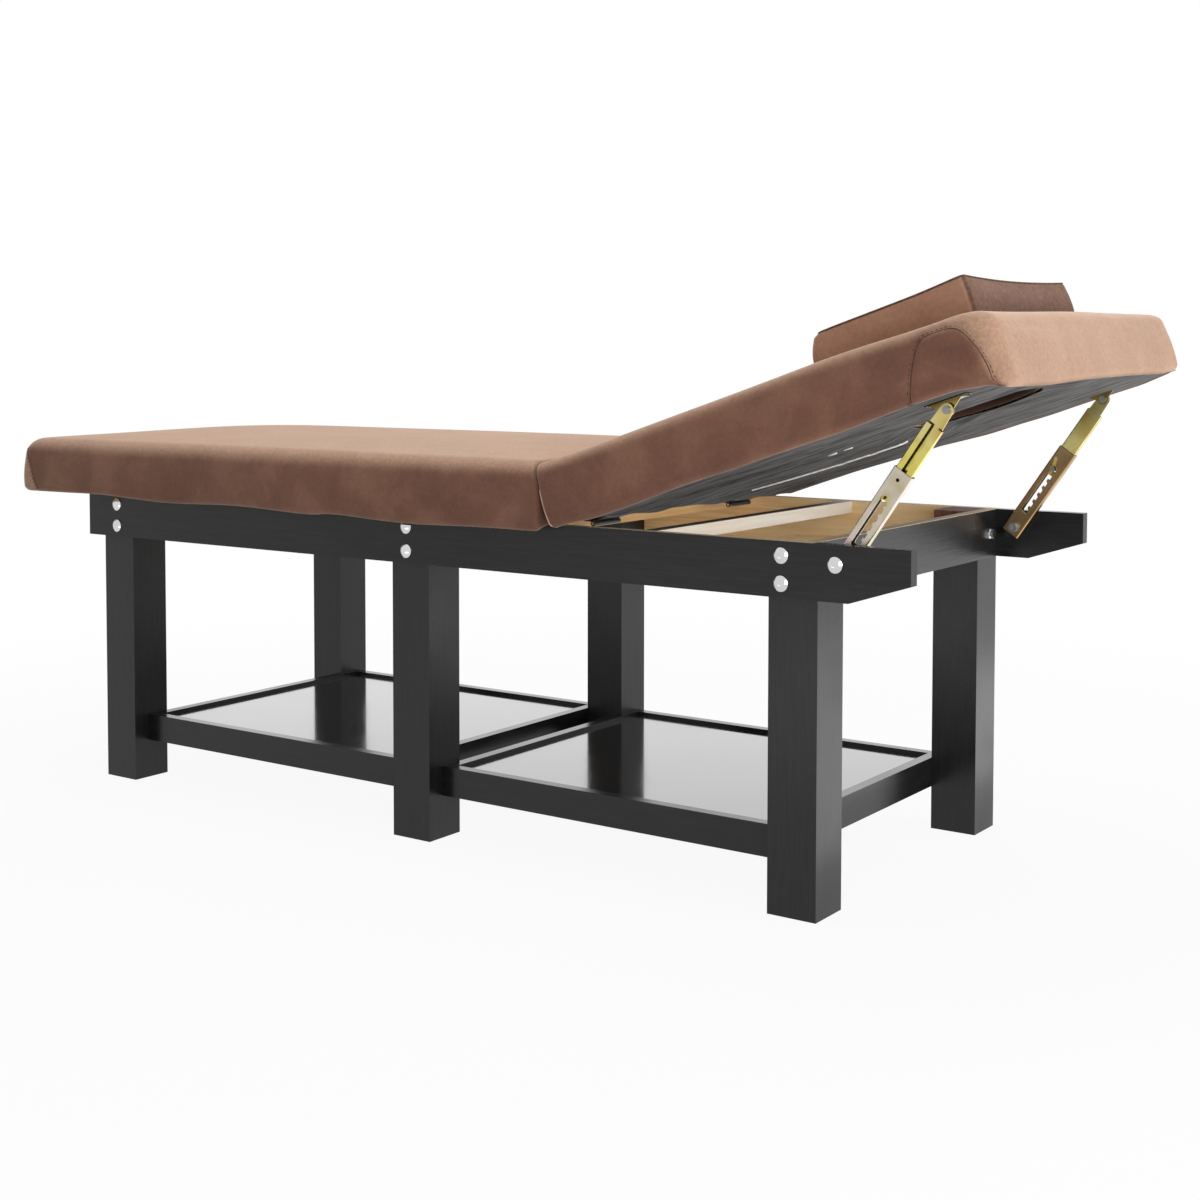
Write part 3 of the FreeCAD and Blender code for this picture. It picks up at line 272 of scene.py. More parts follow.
@dataclass(frozen=True)
class Lacquer:
    """Black lacquer sprayed on softwood: near-black film in which the grain still shows as fine ridges.

    The eye sees dark, slightly uneven faces with a satin to glossy shine that greys towards grazing light.
    """

    name: str
    run: Run
    roughness: float = 0.30
    grain_mm: float = 4.0       # real ridges are 1 to 2 mm apart, drawn coarser so that they show
    ridge: float = 0.16
    dark: str = "#0E0E0F"
    light: str = "#1A1919"
    coat: float = 0.0
    index: float = 1.40
    cloud_mm: float = 160.0     # the gloss drifts over this length

    def pattern(self, tree: bpy.types.NodeTree, shader: bpy.types.Node) -> bpy.types.NodeSocket:
        """Adds the stretched grain to a shader.

        Args:
            tree: Node tree of the material.
            shader: Shader whose roughness and relief follow the grain.

        Returns:
            The film's colour.
        """
        place = add_node(tree, "TexCoord").outputs["Object"]
        turned = add_node(tree, "Mapping", {"Scale": self.run.value}, {"Vector": place}).outputs[0]
        grain = add_node(tree, "TexNoise", {"Scale": per_metre(self.grain_mm), "Detail": 3.0,
                                            "Roughness": 0.6}, {"Vector": turned})
        cloud = add_node(tree, "TexNoise", {"Scale": per_metre(self.cloud_mm), "Detail": 2.0},
                         {"Vector": place})
        rough = spread(tree, cloud.outputs[0], 0.3, 0.7, self.roughness * 0.85, self.roughness * 1.2)
        tree.links.new(rough, shader.inputs["Roughness"])
        relief(tree, shader, grain.outputs[0], 0.35, self.ridge)
        return blend_colours(tree, spread(tree, grain.outputs[0], 0.3, 0.75), self.dark, self.light)

    def material(self) -> bpy.types.Material:
        """The plain lacquered wood."""
        settings = {"IOR": self.index, "Coat Weight": self.coat, "Coat Roughness": 0.05, "Coat IOR": 1.7}
        material, tree, shader = new_material(self.name, settings)
        tree.links.new(self.pattern(tree, shader), shader.inputs["Base Color"])
        return material


@dataclass(frozen=True)
class Bare:
    """Region of a board that was left without lacquer: beyond limits in X, Y or Z, in millimetres.

    A limit is the axis number, a value, and whether the bare side lies above it. Axis 3 is the distance
    from the bed's centre line.
    """

    limits: tuple[tuple[int, float, bool], ...]
    pale: str = "#FFDCA8"
    deep: str = "#F0C284"


@dataclass(frozen=True)
class PartLacquered:
    """Pine board that is lacquered on its show faces only: the rest is dry, pale wood with soft grain."""

    name: str
    run: Run
    regions: tuple[Bare, ...]
    grain_mm: float = 9.0
    film: Lacquer = Lacquer("film", Run.LENGTHWISE)
    index: float = 1.40
    dry_roughness: float = 0.75

    def material(self) -> bpy.types.Material:
        """Lacquer everywhere, and bare pine inside each region."""
        material, tree, shader = new_material(self.name, {"IOR": self.index})
        colour = replace(self.film, run=self.run).pattern(tree, shader)
        place = add_node(tree, "TexCoord").outputs["Object"]
        axes = add_node(tree, "SeparateXYZ", links={0: place}).outputs
        across = add_node(tree, "Math", {"operation": "ABSOLUTE"}, {0: axes[1]}).outputs[0]
        ways = (axes[0], axes[1], axes[2], across)
        turned = add_node(tree, "Mapping", {"Scale": self.run.value}, {"Vector": place}).outputs[0]
        grain = add_node(tree, "TexNoise", {"Scale": per_metre(self.grain_mm), "Detail": 4.0,
                                            "Roughness": 0.6}, {"Vector": turned})
        rings = spread(tree, grain.outputs[0], 0.3, 0.7)
        dry = None
        for region in self.regions:
            inside = None
            for axis, limit, above in region.limits:
                test = add_node(tree, "Math", {"operation": "GREATER_THAN" if above else "LESS_THAN",
                                               1: limit * MM}, {0: ways[axis]}).outputs[0]
                if inside is not None:
                    test = add_node(tree, "Math", {"operation": "MULTIPLY"}, {0: inside, 1: test}).outputs[0]
                inside = test
            wood = blend_colours(tree, rings, region.deep, region.pale)
            colour = blend_colours(tree, inside, colour, wood)
            if dry is not None:
                inside = add_node(tree, "Math", {"operation": "MAXIMUM"}, {0: dry, 1: inside}).outputs[0]
            dry = inside
        tree.links.new(colour, shader.inputs["Base Color"])
        shine = shader.inputs["Roughness"].links[0].from_socket
        rough = add_node(tree, "Mix", {3: self.dry_roughness}, {0: dry, 2: shine}).outputs[0]
        tree.links.new(rough, shader.inputs["Roughness"])
        return material


@dataclass(frozen=True)
class Plated:
    """Plated steel: a thin bright film whose tint drifts a little over a pressed part.

    Yellow zinc shows gold with green and pink clouds, chrome a clean mirror, plain zinc a soft grey.
    """

    name: str
    first: str
    second: str
    third: str
    roughness: float
    cloud_mm: float = 40.0
    brush_mm: float = 1.2
    scratch: float = 0.03

    def material(self) -> bpy.types.Material:
        """Metal whose tint follows two clouds, with faint handling marks in the gloss."""
        material, tree, shader = new_material(self.name, {"Metallic": 1.0})
        place = add_node(tree, "TexCoord").outputs["Object"]
        sizes = ((self.cloud_mm, 2.0), (self.cloud_mm * 2.7, 1.0), (self.brush_mm, 3.0))
        cloud, drift, marks = (
            add_node(tree, "TexNoise", {"Scale": per_metre(size), "Detail": detail}, {"Vector": place})
            for size, detail in sizes)
        colour = blend_colours(tree, spread(tree, cloud.outputs[0], 0.35, 0.65), self.first, self.second)
        colour = blend_colours(tree, spread(tree, drift.outputs[0], 0.5, 0.75), colour, self.third)
        tree.links.new(colour, shader.inputs["Base Color"])
        rough = spread(tree, marks.outputs[0], 0.25, 0.75, self.roughness * 0.85, self.roughness * 1.15)
        tree.links.new(rough, shader.inputs["Roughness"])
        relief(tree, shader, marks.outputs[0], 0.1, self.scratch)
        return material


@dataclass(frozen=True)
class DustCloth:
    """Spun-bonded dust cloth under the backrest: thin grey-black felt with rows of bonded dots.

    The eye sees dull grey that turns lighter along the folds, where the flat fibres line up.
    """

    name: str
    dark: str
    light: str
    dot_mm: float = 4.0         # real dots are about 1.5 mm apart, drawn coarser so that they show
    fibre_mm: float = 8.0

    def material(self) -> bpy.types.Material:
        """Bonded dots over fibre streaks that run along the bed."""
        settings = {"Roughness": 0.7, "Specular IOR Level": 0.25}
        material, tree, shader = new_material(self.name, settings)
        place = add_node(tree, "TexCoord").outputs["Object"]
        turned = add_node(tree, "Mapping", {"Scale": (0.07, 1.0, 0.35)}, {"Vector": place}).outputs[0]
        fibres = add_node(tree, "TexNoise", {"Scale": per_metre(self.fibre_mm), "Detail": 5.0,
                                             "Roughness": 0.65}, {"Vector": turned})
        dots = add_node(tree, "TexVoronoi", {"Scale": per_metre(self.dot_mm), "Randomness": 0.35},
                        {"Vector": place})
        colour = blend_colours(tree, spread(tree, fibres.outputs[0], 0.36, 0.66), self.dark, self.light)
        tree.links.new(colour, shader.inputs["Base Color"])
        height = add_node(tree, "Math", {"operation": "MULTIPLY"}, {0: dots.outputs[0], 1: fibres.outputs[0]})
        relief(tree, shader, height.outputs[0], 0.5, 0.3)
        return material


@dataclass(frozen=True)
class Thread:
    """Twisted polyester sewing thread or woven edge: dull, with a fine diagonal twist."""

    name: str
    dark: str
    light: str
    twist_mm: float = 1.6

    def material(self) -> bpy.types.Material:
        """Two shades in diagonal turns."""
        material, tree, shader = new_material(self.name, {"Roughness": 0.8, "Specular IOR Level": 0.2})
        place = add_node(tree, "TexCoord").outputs["Object"]
        turns = add_node(tree, "TexWave", {"Scale": per_metre(self.twist_mm) / 20, "Distortion": 2.0,
                                           "bands_direction": "DIAGONAL"}, {"Vector": place})
        colour = blend_colours(tree, turns.outputs[1], self.dark, self.light)
        tree.links.new(colour, shader.inputs["Base Color"])
        relief(tree, shader, turns.outputs[1], 0.2, 0.3)
        return material


# Mesh helpers


def unit(vectors: Array) -> Array:
    """Vectors of length 1 in the same directions, along the last axis."""
    return vectors / np.maximum(np.linalg.norm(vectors, axis=-1, keepdims=True), TINY)


def run_of(path: Array) -> Array:
    """Distance of each point of a path from its start, along the path."""
    return np.concatenate([[0], np.cumsum(np.linalg.norm(np.diff(path, axis=0), axis=1))])


def read_along(values: Array, run: Array, wanted: Array) -> Array:
    """Values that are known at the distances run along a path, read at other distances."""
    return np.stack([np.interp(wanted, run, values[:, a]) for a in range(values.shape[1])], axis=1)


def grid_faces(rows: int, columns: int, closed_rows: bool) -> Array:
    """Quads of a grid whose columns run round, and whose rows may do so too.

    Args:
        rows: Number of rings.
        columns: Points in a ring.
        closed_rows: Whether the last ring joins the first.

    Returns:
        Corner numbers, four to a face.
    """
    r = np.arange(rows if closed_rows else rows - 1)[:, None]
    c = np.arange(columns)[None, :]
    nr, nc = (r + 1) % rows, (c + 1) % columns
    corners = [r * columns + c, r * columns + nc, nr * columns + nc, nr * columns + c]
    return np.stack([np.broadcast_to(k, np.broadcast_shapes(r.shape, c.shape)) for k in corners],
                    axis=-1).reshape(-1, 4)


def ring_normals(points: Array, closed_rows: bool) -> Array:
    """Unit normals of a ring grid: cross product of its two directions, worked out by differences.

    Args:
        points: Array of rings by columns by 3.
        closed_rows: Whether the last ring joins the first.

    Returns:
        Normals in the same layout, pointing to the right of the rings' upward order.
    """
    around = np.roll(points, -1, axis=1) - np.roll(points, 1, axis=1)
    if closed_rows:
        along = np.roll(points, -1, axis=0) - np.roll(points, 1, axis=0)
    else:
        along = np.gradient(points, axis=0)
    return unit(np.cross(around, along))


def make_piece(name: str, points: Array, faces: Array, material: bpy.types.Material,
               merge_mm: float = 0.0) -> bpy.types.Object:
    """Puts points and faces into a new object at the origin.

    Args:
        name: The piece's name.
        points: Places in millimetres.
        faces: Corner numbers, as many to a row as a face has corners.
        material: The piece's finish.
        merge_mm: Points closer than this become one, and the faces are then turned outwards.

    Returns:
        The new object, with smooth faces.
    """
    mesh = bpy.data.meshes.new(name)
    mesh.from_pydata((points.reshape(-1, 3) * MM).tolist(), [], faces.tolist())
    if merge_mm > 0:
        work = bmesh.new()
        work.from_mesh(mesh)
        bmesh.ops.remove_doubles(work, verts=work.verts, dist=merge_mm * MM)
        bmesh.ops.dissolve_degenerate(work, edges=work.edges, dist=0.2 * merge_mm * MM)
        bmesh.ops.recalc_face_normals(work, faces=work.faces)
        work.to_mesh(mesh)
        work.free()
    mesh.polygons.foreach_set("use_smooth", np.ones(len(mesh.polygons), dtype=bool))
    mesh.materials.append(material)
    piece = bpy.data.objects.new(name, mesh)
    bpy.context.scene.collection.objects.link(piece)
    return piece


def smooth_path(controls: Array, count: int) -> Array:
    """Evenly spaced points on a Catmull-Rom curve through control points.

    Args:
        controls: Array of points, in any number of dimensions.
        count: Number of points wanted.

    Returns:
        Points along the curve, at equal distances.
    """
    ends = np.vstack([2 * controls[0] - controls[1], controls, 2 * controls[-1] - controls[-2]])
    t = np.linspace(0, len(controls) - 1, 40 * len(controls))
    k = np.minimum(t.astype(int), len(controls) - 2)
    f = (t - k)[:, None]
    p0, p1, p2, p3 = (ends[k + n] for n in range(4))
    curve = 0.5 * (2 * p1 + (p2 - p0) * f + (2 * p0 - 5 * p1 + 4 * p2 - p3) * f ** 2
                   + (3 * p1 - p0 - 3 * p2 + p3) * f ** 3)
    run = run_of(curve)
    return read_along(curve, run, np.linspace(0, run[-1], count))


def tube(path: Array, radius: float, sides: int, closed: bool) -> tuple[Array, Array]:
    """Round cord along a path: a circle carried along it, square to its direction.

    A point between two equal neighbours has no direction, and gets no circle.

    Args:
        path: Points in millimetres.
        radius: Radius in millimetres.
        sides: Points in the circle.
        closed: Whether the path joins its own start. An open tube closes to a point at both ends.

    Returns:
        Points and faces.
    """
    if not closed:
        path = np.vstack([path[:1], path, path[-1:]])
    ahead = np.roll(path, -1, axis=0) - np.roll(path, 1, axis=0)
    if not closed:
        ahead[:2] = path[2] - path[1]
        ahead[-2:] = path[-2] - path[-3]
    directed = np.linalg.norm(ahead, axis=1) > TINY
    path, ahead = path[directed], unit(ahead[directed])
    helper = np.where(np.abs(ahead[:, 2:]) > 0.9, [[1.0, 0.0, 0.0]], [[0.0, 0.0, 1.0]])
    right = unit(np.cross(ahead, helper))
    up = np.cross(right, ahead)
    turn = np.linspace(0, 2 * np.pi, sides, endpoint=False)
    size = np.full(len(path), radius)
    if not closed:
        size[[0, -1]] = 0.02 * radius
    ring = np.cos(turn)[None, :, None] * right[:, None] + np.sin(turn)[None, :, None] * up[:, None]
    points = path[:, None] + size[:, None, None] * ring
    return points, grid_faces(len(path), sides, closed)


def ease(x: Array) -> Array:
    """Smooth step from 0 at 0 to 1 at 1."""
    x = np.clip(x, 0.0, 1.0)
    return x * x * (3 - 2 * x)


def distance_to_path(points: Array, path: Array) -> Array:
    """Shortest distance from each of many flat points to the points of a path."""
    gap = points[..., None, :] - path
    return np.sqrt(np.min(np.sum(gap * gap, axis=-1), axis=-1))


def raise_about_hinge(points: Array, hinge: Array, tilt_deg: float) -> Array:
    """Turns points of the flat backrest up about the hinge axis.

    Args:
        points: Array whose last axis is X, Y, Z in millimetres.
        hinge: A point on the axis, which runs along Y.
        tilt_deg: Angle of the raised backrest.

    Returns:
        The turned points.
    """
    angle = math.radians(tilt_deg)
    p = points - hinge
    x = p[..., 0] * math.cos(angle) - p[..., 2] * math.sin(angle)
    z = p[..., 0] * math.sin(angle) + p[..., 2] * math.cos(angle)
    return np.stack([x, p[..., 1], z], axis=-1) + hinge


# Upholstery


@dataclass
class CushionForm:
    """Sizes of a boxed cushion, in millimetres, laid flat."""

    x0: float
    x1: float
    half_width: float
    bottom: float
    height: float
    crown: float
    edge_round: float
    foot_round: float
    head_round: float
    foot_corner: float
    head_corner: float
    draw_in: float
    bottom_in: float
    bottom_rise: float
    bulge: float = 2.0          # sides swell this far between hem and top edge
    lean_from: float = 1e6      # height from which the head end leans back
    lean_slope: float = 0.0
    foot_sweep: float = 0.0     # foot end curves back this far up to its top edge
    hem: float = 0.0            # cover hangs this far below the board
    hem_turn: float = 4.0       # thickness of the turned hem
    board_in: float = 4.0       # closed underside, this far inside the board
    side_steps: int = 110
    end_steps: int = 64
    corner_steps: int = 10
    rise_steps: int = 22
    top_steps: int = 34


@dataclass
class Cushion:
    """Upholstered block whose cover is one closed surface of rings."""

    form: CushionForm

    def insets(self) -> dict[str, Array]:
        """Ring heights and how far each ring lies inside the outline, from the underside to the top.

        A ring runs round at height h. The sides tuck in near the hem by the square of what is left of
        bottom_rise, swell by a half sine above it, and turn over the top edge on a quarter ellipse. The foot
        end sweeps back by the power 1.8 of the height. The top's rings close on the middle line.

        Returns:
            Arrays h, side, foot and head, and t, the share of the way across the top or the underside.
        """
        f = self.form
        straight = f.height - f.edge_round
        h = np.linspace(0, straight, f.rise_steps)
        tuck = f.bottom_in * np.clip(1 - h / f.bottom_rise, 0, 1) ** 2
        tuck -= f.bulge * np.sin(np.pi * h / straight)
        turn = np.radians(np.linspace(0, 90, 9)[1:])
        t = np.linspace(0, 1, f.top_steps + 1)[1:]
        under = f.bottom_in + np.array([f.hem_turn, f.hem_turn, f.hem_turn, 0.45 * f.hem_turn])
        height = np.concatenate([
            [f.hem + f.board_in, f.hem + f.board_in, 0.35 * f.hem, -0.3],
            h,
            straight + f.edge_round * np.sin(turn),
            np.full(len(t), f.height),
        ])
        lean = np.clip(height - f.lean_from, 0, None) * f.lean_slope
        sweep = np.clip(height / f.height, 0, 1) ** 1.8

        def inset(edge: float) -> Array:
            """Insets for a side whose top edge has that horizontal radius."""
            return np.concatenate([under, tuck, edge * (1 - np.cos(turn)), np.full(len(t), edge)])

        across = np.concatenate([[1.0], np.zeros(3 + len(h) + len(turn)), t])
        return {"h": height, "side": inset(f.edge_round), "foot": inset(f.foot_round) + f.foot_sweep * sweep,
                "head": inset(f.head_round) + lean, "t": across}

    def side_shares(self) -> Array:
        """Shares along a long side, closer together near both corners."""
        a = np.linspace(0, 1, self.form.side_steps)
        return a - 0.11 * np.sin(2 * np.pi * a)

    def rings(self, close: bool) -> Array:
        """Rounded rectangles at all heights, as one array of rings by columns by 3.

        Each ring is four sides, pulled in at their middles by a parabola, and four quarter circles. With
        close, the rings of the top and the underside shrink onto the cushion's middle line.

        Args:
            close: Whether the share t of the insets shrinks the rings.

        Returns:
            Points in millimetres, from the underside to the top, columns anticlockwise from the near side.
        """
        f, i = self.form, self.insets()
        y = (f.half_width - i["side"])[:, None]
        x0 = (f.x0 + i["foot"])[:, None]
        x1 = (f.x1 - i["head"])[:, None]
        shrink = i["t"][:, None] * np.minimum(y, (x1 - x0) / 2) if close else 0 * y
        x0, x1, y = x0 + shrink, x1 - shrink, y - shrink
        half = np.minimum(y, (x1 - x0) / 2)
        inward = np.clip(i["side"][:, None], 0, None) + shrink
        rf = np.clip(f.foot_corner - 0.8 * inward, 0, half)
        rh = np.clip(f.head_corner - 0.8 * inward, 0, half)
        pull = np.minimum(f.draw_in, 0.2 * half)
        a = self.side_shares()[None, :]
        b = np.linspace(0, 1, f.end_steps)[None, :]
        turn = np.linspace(0, np.pi / 2, f.corner_steps + 2)[None, 1:-1]
        bow_a, bow_b = 1 - (2 * a - 1) ** 2, 1 - (2 * b - 1) ** 2
        sine, cosine = np.sin(turn), np.cos(turn)
        near_x = x0 + rf + (x1 - rh - x0 - rf) * a
        near_y = -y + pull * bow_a
        head_x = x1 - pull * bow_b
        head_y = -y + rh + 2 * (y - rh) * b
        foot_x = x0 + pull * bow_b
        foot_y = y - rf - 2 * (y - rf) * b
        xs = [near_x, x1 - rh + rh * sine, head_x, x1 - rh + rh * cosine, near_x[:, ::-1],
              x0 + rf - rf * sine, foot_x, x0 + rf - rf * cosine]
        ys = [near_y, -y + rh - rh * cosine, head_y, y - rh + rh * sine, -near_y[:, ::-1],
              y - rf + rf * cosine, foot_y, -y + rf - rf * sine]
        flat = [np.concatenate([np.broadcast_to(k, (len(y), k.shape[1])) for k in parts], axis=1)
                for parts in (xs, ys)]
        p = np.stack([*flat, np.broadcast_to(f.bottom + i["h"][:, None], flat[0].shape)], axis=-1)
        over = p[..., 2] - f.bottom - f.height + 0.6 * f.edge_round
        p[..., 2] += self.crown(p) * ease(over / f.edge_round)
        return p

    def crown(self, points: Array) -> Array:
        """Rise of the top: a parabola across, and along the cushion a flat curve of the sixth power."""
        f = self.form
        across = np.clip(1 - (points[..., 1] / f.half_width) ** 2, 0, 1)
        along = (2 * points[..., 0] - f.x0 - f.x1) / (f.x1 - f.x0)
        return f.crown * across * np.clip(1 - np.abs(along) ** 6, 0, 1)

    @staticmethod
    def soften(points: Array, amount: float) -> Array:
        """Uneven swell of foam under cloth: sines of mixed lengths and directions, in millimetres."""
        x, y, z = points[..., 0], points[..., 1], points[..., 2]
        swell = (np.sin(x / 61 + 0.6 * np.sin(y / 97)) * np.sin(z / 29 + 0.8)
                 + 0.7 * np.sin((x + y) / 113 + 1.3) + 0.6 * np.sin((x - 1.7 * y) / 148 + z / 40))
        return amount * swell / 2.0

    def swell(self, points: Array, amount: float, closed_rows: bool) -> Array:
        """Points pushed out by the uneven swell: straight up on the top, square to the surface elsewhere."""
        f = self.form
        ways = ring_normals(points, closed_rows)
        rings = len(self.insets()["t"])
        ways[rings - f.top_steps:rings] = [0.0, 0.0, 1.0]
        lift = self.soften(points, amount) * ease((points[..., 2] - f.bottom - 5) / 20)
        return points + lift[..., None] * ways


def make_cover(name: str, rings: Array, closed_rows: bool, suede: bpy.types.Material) -> bpy.types.Object:
    """Makes a cushion's cover from its rings.

    Args:
        name: The piece's name.
        rings: Array of rings by columns by 3, in millimetres.
        closed_rows: Whether the last ring joins the first.
        suede: Finish of the cover.

    Returns:
        The cover, as one closed piece.
    """
    faces = grid_faces(rings.shape[0], rings.shape[1], closed_rows)
    return make_piece(name, rings, faces, suede, merge_mm=MERGE_MM)


def attach(pieces: list[bpy.types.Object], body: str) -> list[bpy.types.Object]:
    """Lets pieces ride on a body, and returns them."""
    for piece in pieces:
        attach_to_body(piece, body)
    return pieces


def read_points(piece: bpy.types.Object) -> Array:
    """Places of a piece's points, in millimetres."""
    places = np.empty(3 * len(piece.data.vertices))
    piece.data.vertices.foreach_get("co", places)
    return places.reshape(-1, 3) / MM


def write_points(piece: bpy.types.Object, points: Array) -> None:
    """Moves a piece's points to places in millimetres."""
    piece.data.vertices.foreach_set("co", (points * MM).ravel())
    piece.data.update()


def read_normals(piece: bpy.types.Object) -> Array:
    """Normals at a piece's points."""
    normals = np.empty(3 * len(piece.data.vertices))
    piece.data.vertex_normals.foreach_get("vector", normals)
    return normals.reshape(-1, 3)


def paint_light_by_facing(piece: bpy.types.Object, up: Array, ahead: Array, top: float, head: float, panel: Array,
          hole_shade: Array | float = 0.0) -> None:
    """Writes painted light and shade into the nap attribute, from the way that each panel faces.

    Args:
        piece: The finished cushion.
        up: Direction square to the cushion's top.
        ahead: Direction from its foot end to its head end.
        top: Value on the top panel.
        head: Value on the head end.
        panel: Least value at each point, for panels that wrap round a corner.
        hole_shade: Share from 0 to 1 of painted shade in the face hole, dark and without painted light.
    """
    normals = read_normals(piece)
    light_shade_share = np.maximum(panel, top * ease((normals @ up - 0.2) / 0.65))
    light_shade_share = np.maximum(light_shade_share, head * ease((normals @ ahead - 0.3) / 0.45))
    # Painted shade in the face hole pulls the value down to -1.
    light_shade_share = light_shade_share * (1 - hole_shade) - hole_shade
    piece.data.attributes.new(LIGHT_SHADE_ATTRIBUTE, "FLOAT", "POINT").data.foreach_set("value", light_shade_share)


@dataclass(frozen=True)
class Settling:
    """Cloth run of a cover over its filling: no weight, a soft push from inside, held where it is fixed."""

    frames: int = 10
    pressure: float = 1.2
    most: float = 2.5           # no point moves further than this, in millimetres
    mass: float = 0.3
    stretch: float = 15.0
    bending: float = 12.0

    def run(self, piece: bpy.types.Object, held: Array, up: Array) -> None:
        """Lets the cover settle, and keeps the settled shape as the piece's mesh.

        Args:
            piece: The cover.
            held: Share from 0 to 1 to which each point is fixed.
            up: Direction square to the top, which the filling keeps taut.
        """
        before = read_points(piece)
        held = np.maximum(held, ease((read_normals(piece) @ up - 0.55) / 0.35))
        group = piece.vertex_groups.new(name="held")
        for share in np.unique(held.round(1)):
            group.add(np.nonzero(held.round(1) == share)[0].tolist(), float(share), "REPLACE")
        cloth = piece.modifiers.new("settling", "CLOTH")
        cloth.settings.quality = 4
        cloth.settings.mass = self.mass
        cloth.settings.tension_stiffness = cloth.settings.compression_stiffness = self.stretch
        cloth.settings.bending_stiffness = self.bending
        cloth.settings.vertex_group_mass = group.name
        cloth.settings.use_pressure = True
        cloth.settings.uniform_pressure_force = self.pressure
        cloth.settings.effector_weights.gravity = 0.0
        cloth.collision_settings.use_collision = False
        cloth.point_cache.frame_end = self.frames
        scene = bpy.context.scene
        for frame in range(1, self.frames + 1):
            scene.frame_set(frame)
        view = bpy.context.evaluated_depsgraph_get()
        after = read_points(piece.evaluated_get(view))
        piece.modifiers.remove(cloth)
        piece.vertex_groups.clear()
        scene.frame_set(1)
        move = after - before
        length = np.linalg.norm(move, axis=1, keepdims=True)
        LOG.info("%s settled by %.1f mm at most, %.2f mm on average", piece.name, length.max(), length.mean())
        write_points(piece, before + move * np.minimum(1.0, self.most / np.maximum(length, TINY)))


def lay_on(piece: bpy.types.Object, path: Array) -> tuple[Array, Array]:
    """Moves a path onto a piece's surface.

    Args:
        piece: The piece.
        path: Points in millimetres.

    Returns:
        The nearest points on the surface and the surface's normals there.
    """
    mesh = piece.data
    tree = BVHTree.FromPolygons([v.co for v in mesh.vertices], [f.vertices for f in mesh.polygons])
    hits = [tree.find_nearest(Vector(place * MM)) for place in path]
    return np.array([h[0] for h in hits]) / MM, np.array([h[1] for h in hits])


def stitch_row(path: Array, normals: Array, beside: float, length: float = 4.2, gap: float = 2.4,
               radius: float = 0.45) -> tuple[Array, Array]:
    """Row of stitches beside a seam: short round dashes that sink into the cloth at both ends.

    Args:
        path: Seam on the surface, in millimetres.
        normals: The surface's normals along it.
        beside: Distance of the row from the seam, to its right.
        length: Length of a stitch.
        gap: Space between two stitches.
        radius: Radius of the thread.

    Returns:
        Points and faces of all stitches.
    """
    ahead = unit(np.gradient(path, axis=0))
    row = path + beside * np.cross(ahead, normals)
    run = run_of(row)
    starts = np.arange(1.0, run[-1] - length, length + gap)
    share = np.linspace(0, 1, 5)
    wanted = starts[:, None] + length * share[None]
    rise = 0.9 * np.sin(np.pi * share) - 0.35
    points, faces, count = [], [], 0
    for places in wanted:
        line, out = read_along(row, run, places), read_along(normals, run, places)
        dash, quads = tube(line + rise[:, None] * radius * out, radius, 6, closed=False)
        points.append(dash.reshape(-1, 3))
        faces.append(quads + count)
        count += len(points[-1])
    return np.concatenate(points), np.concatenate(faces)


def join_parts(parts: list[tuple[Array, Array]]) -> tuple[Array, Array]:
    """Puts several lots of points and faces into one."""
    starts = np.cumsum([0] + [points.reshape(-1, 3).shape[0] for points, _ in parts])
    return (np.concatenate([points.reshape(-1, 3) for points, _ in parts]),
            np.concatenate([faces + start for (_, faces), start in zip(parts, starts)]))


@dataclass
class Datum:
    """Places of the CAD frame that the upholstery is laid out from, in millimetres."""

    foot: float                 # X of the foot legs' outer faces
    tilt_deg: float = 19.0
    hinge_from_foot: float = 1028.0
    hinge_height: float = 513.0

    @property
    def hinge(self) -> Array:
        """A point on the hinge axis."""
        return np.array([self.foot + self.hinge_from_foot, 0.0, self.hinge_height])

    def raised(self, points: Array) -> Array:
        """Points of the flat backrest, at rest."""
        return raise_about_hinge(points, self.hinge, self.tilt_deg)

    def flat(self, points: Array) -> Array:
        """Points of the backrest at rest, laid flat again."""
        return raise_about_hinge(points, self.hinge, -self.tilt_deg)

    @property
    def ahead(self) -> Array:
        """Direction along the raised backrest, towards the head end."""
        tilt = math.radians(self.tilt_deg)
        return np.array([math.cos(tilt), 0.0, math.sin(tilt)])

    @property
    def up(self) -> Array:
        """Direction square to the raised backrest."""
        tilt = math.radians(self.tilt_deg)
        return np.array([-math.sin(tilt), 0.0, math.cos(tilt)])


def carry_hem(points: Array, form: CushionForm, drop: Array, reach: float) -> None:
    """Lowers the hem in place: by drop at the bottom, and by nothing above reach."""
    share = np.clip(1 - (points[..., 2] - form.bottom) / reach, 0, 1) ** 2
    points[..., 2] -= drop * share


def trim_hem(points: Array, form: CushionForm, end_share: Array, half_width: float) -> None:
    """Lifts the hem in place to the board's underside, along an end that lies over the frame."""
    across = ease((half_width - np.abs(points[..., 1])) / 8.0)
    gap = np.clip(form.bottom + form.hem - points[..., 2], 0, None)
    points[..., 2] += gap * end_share * across


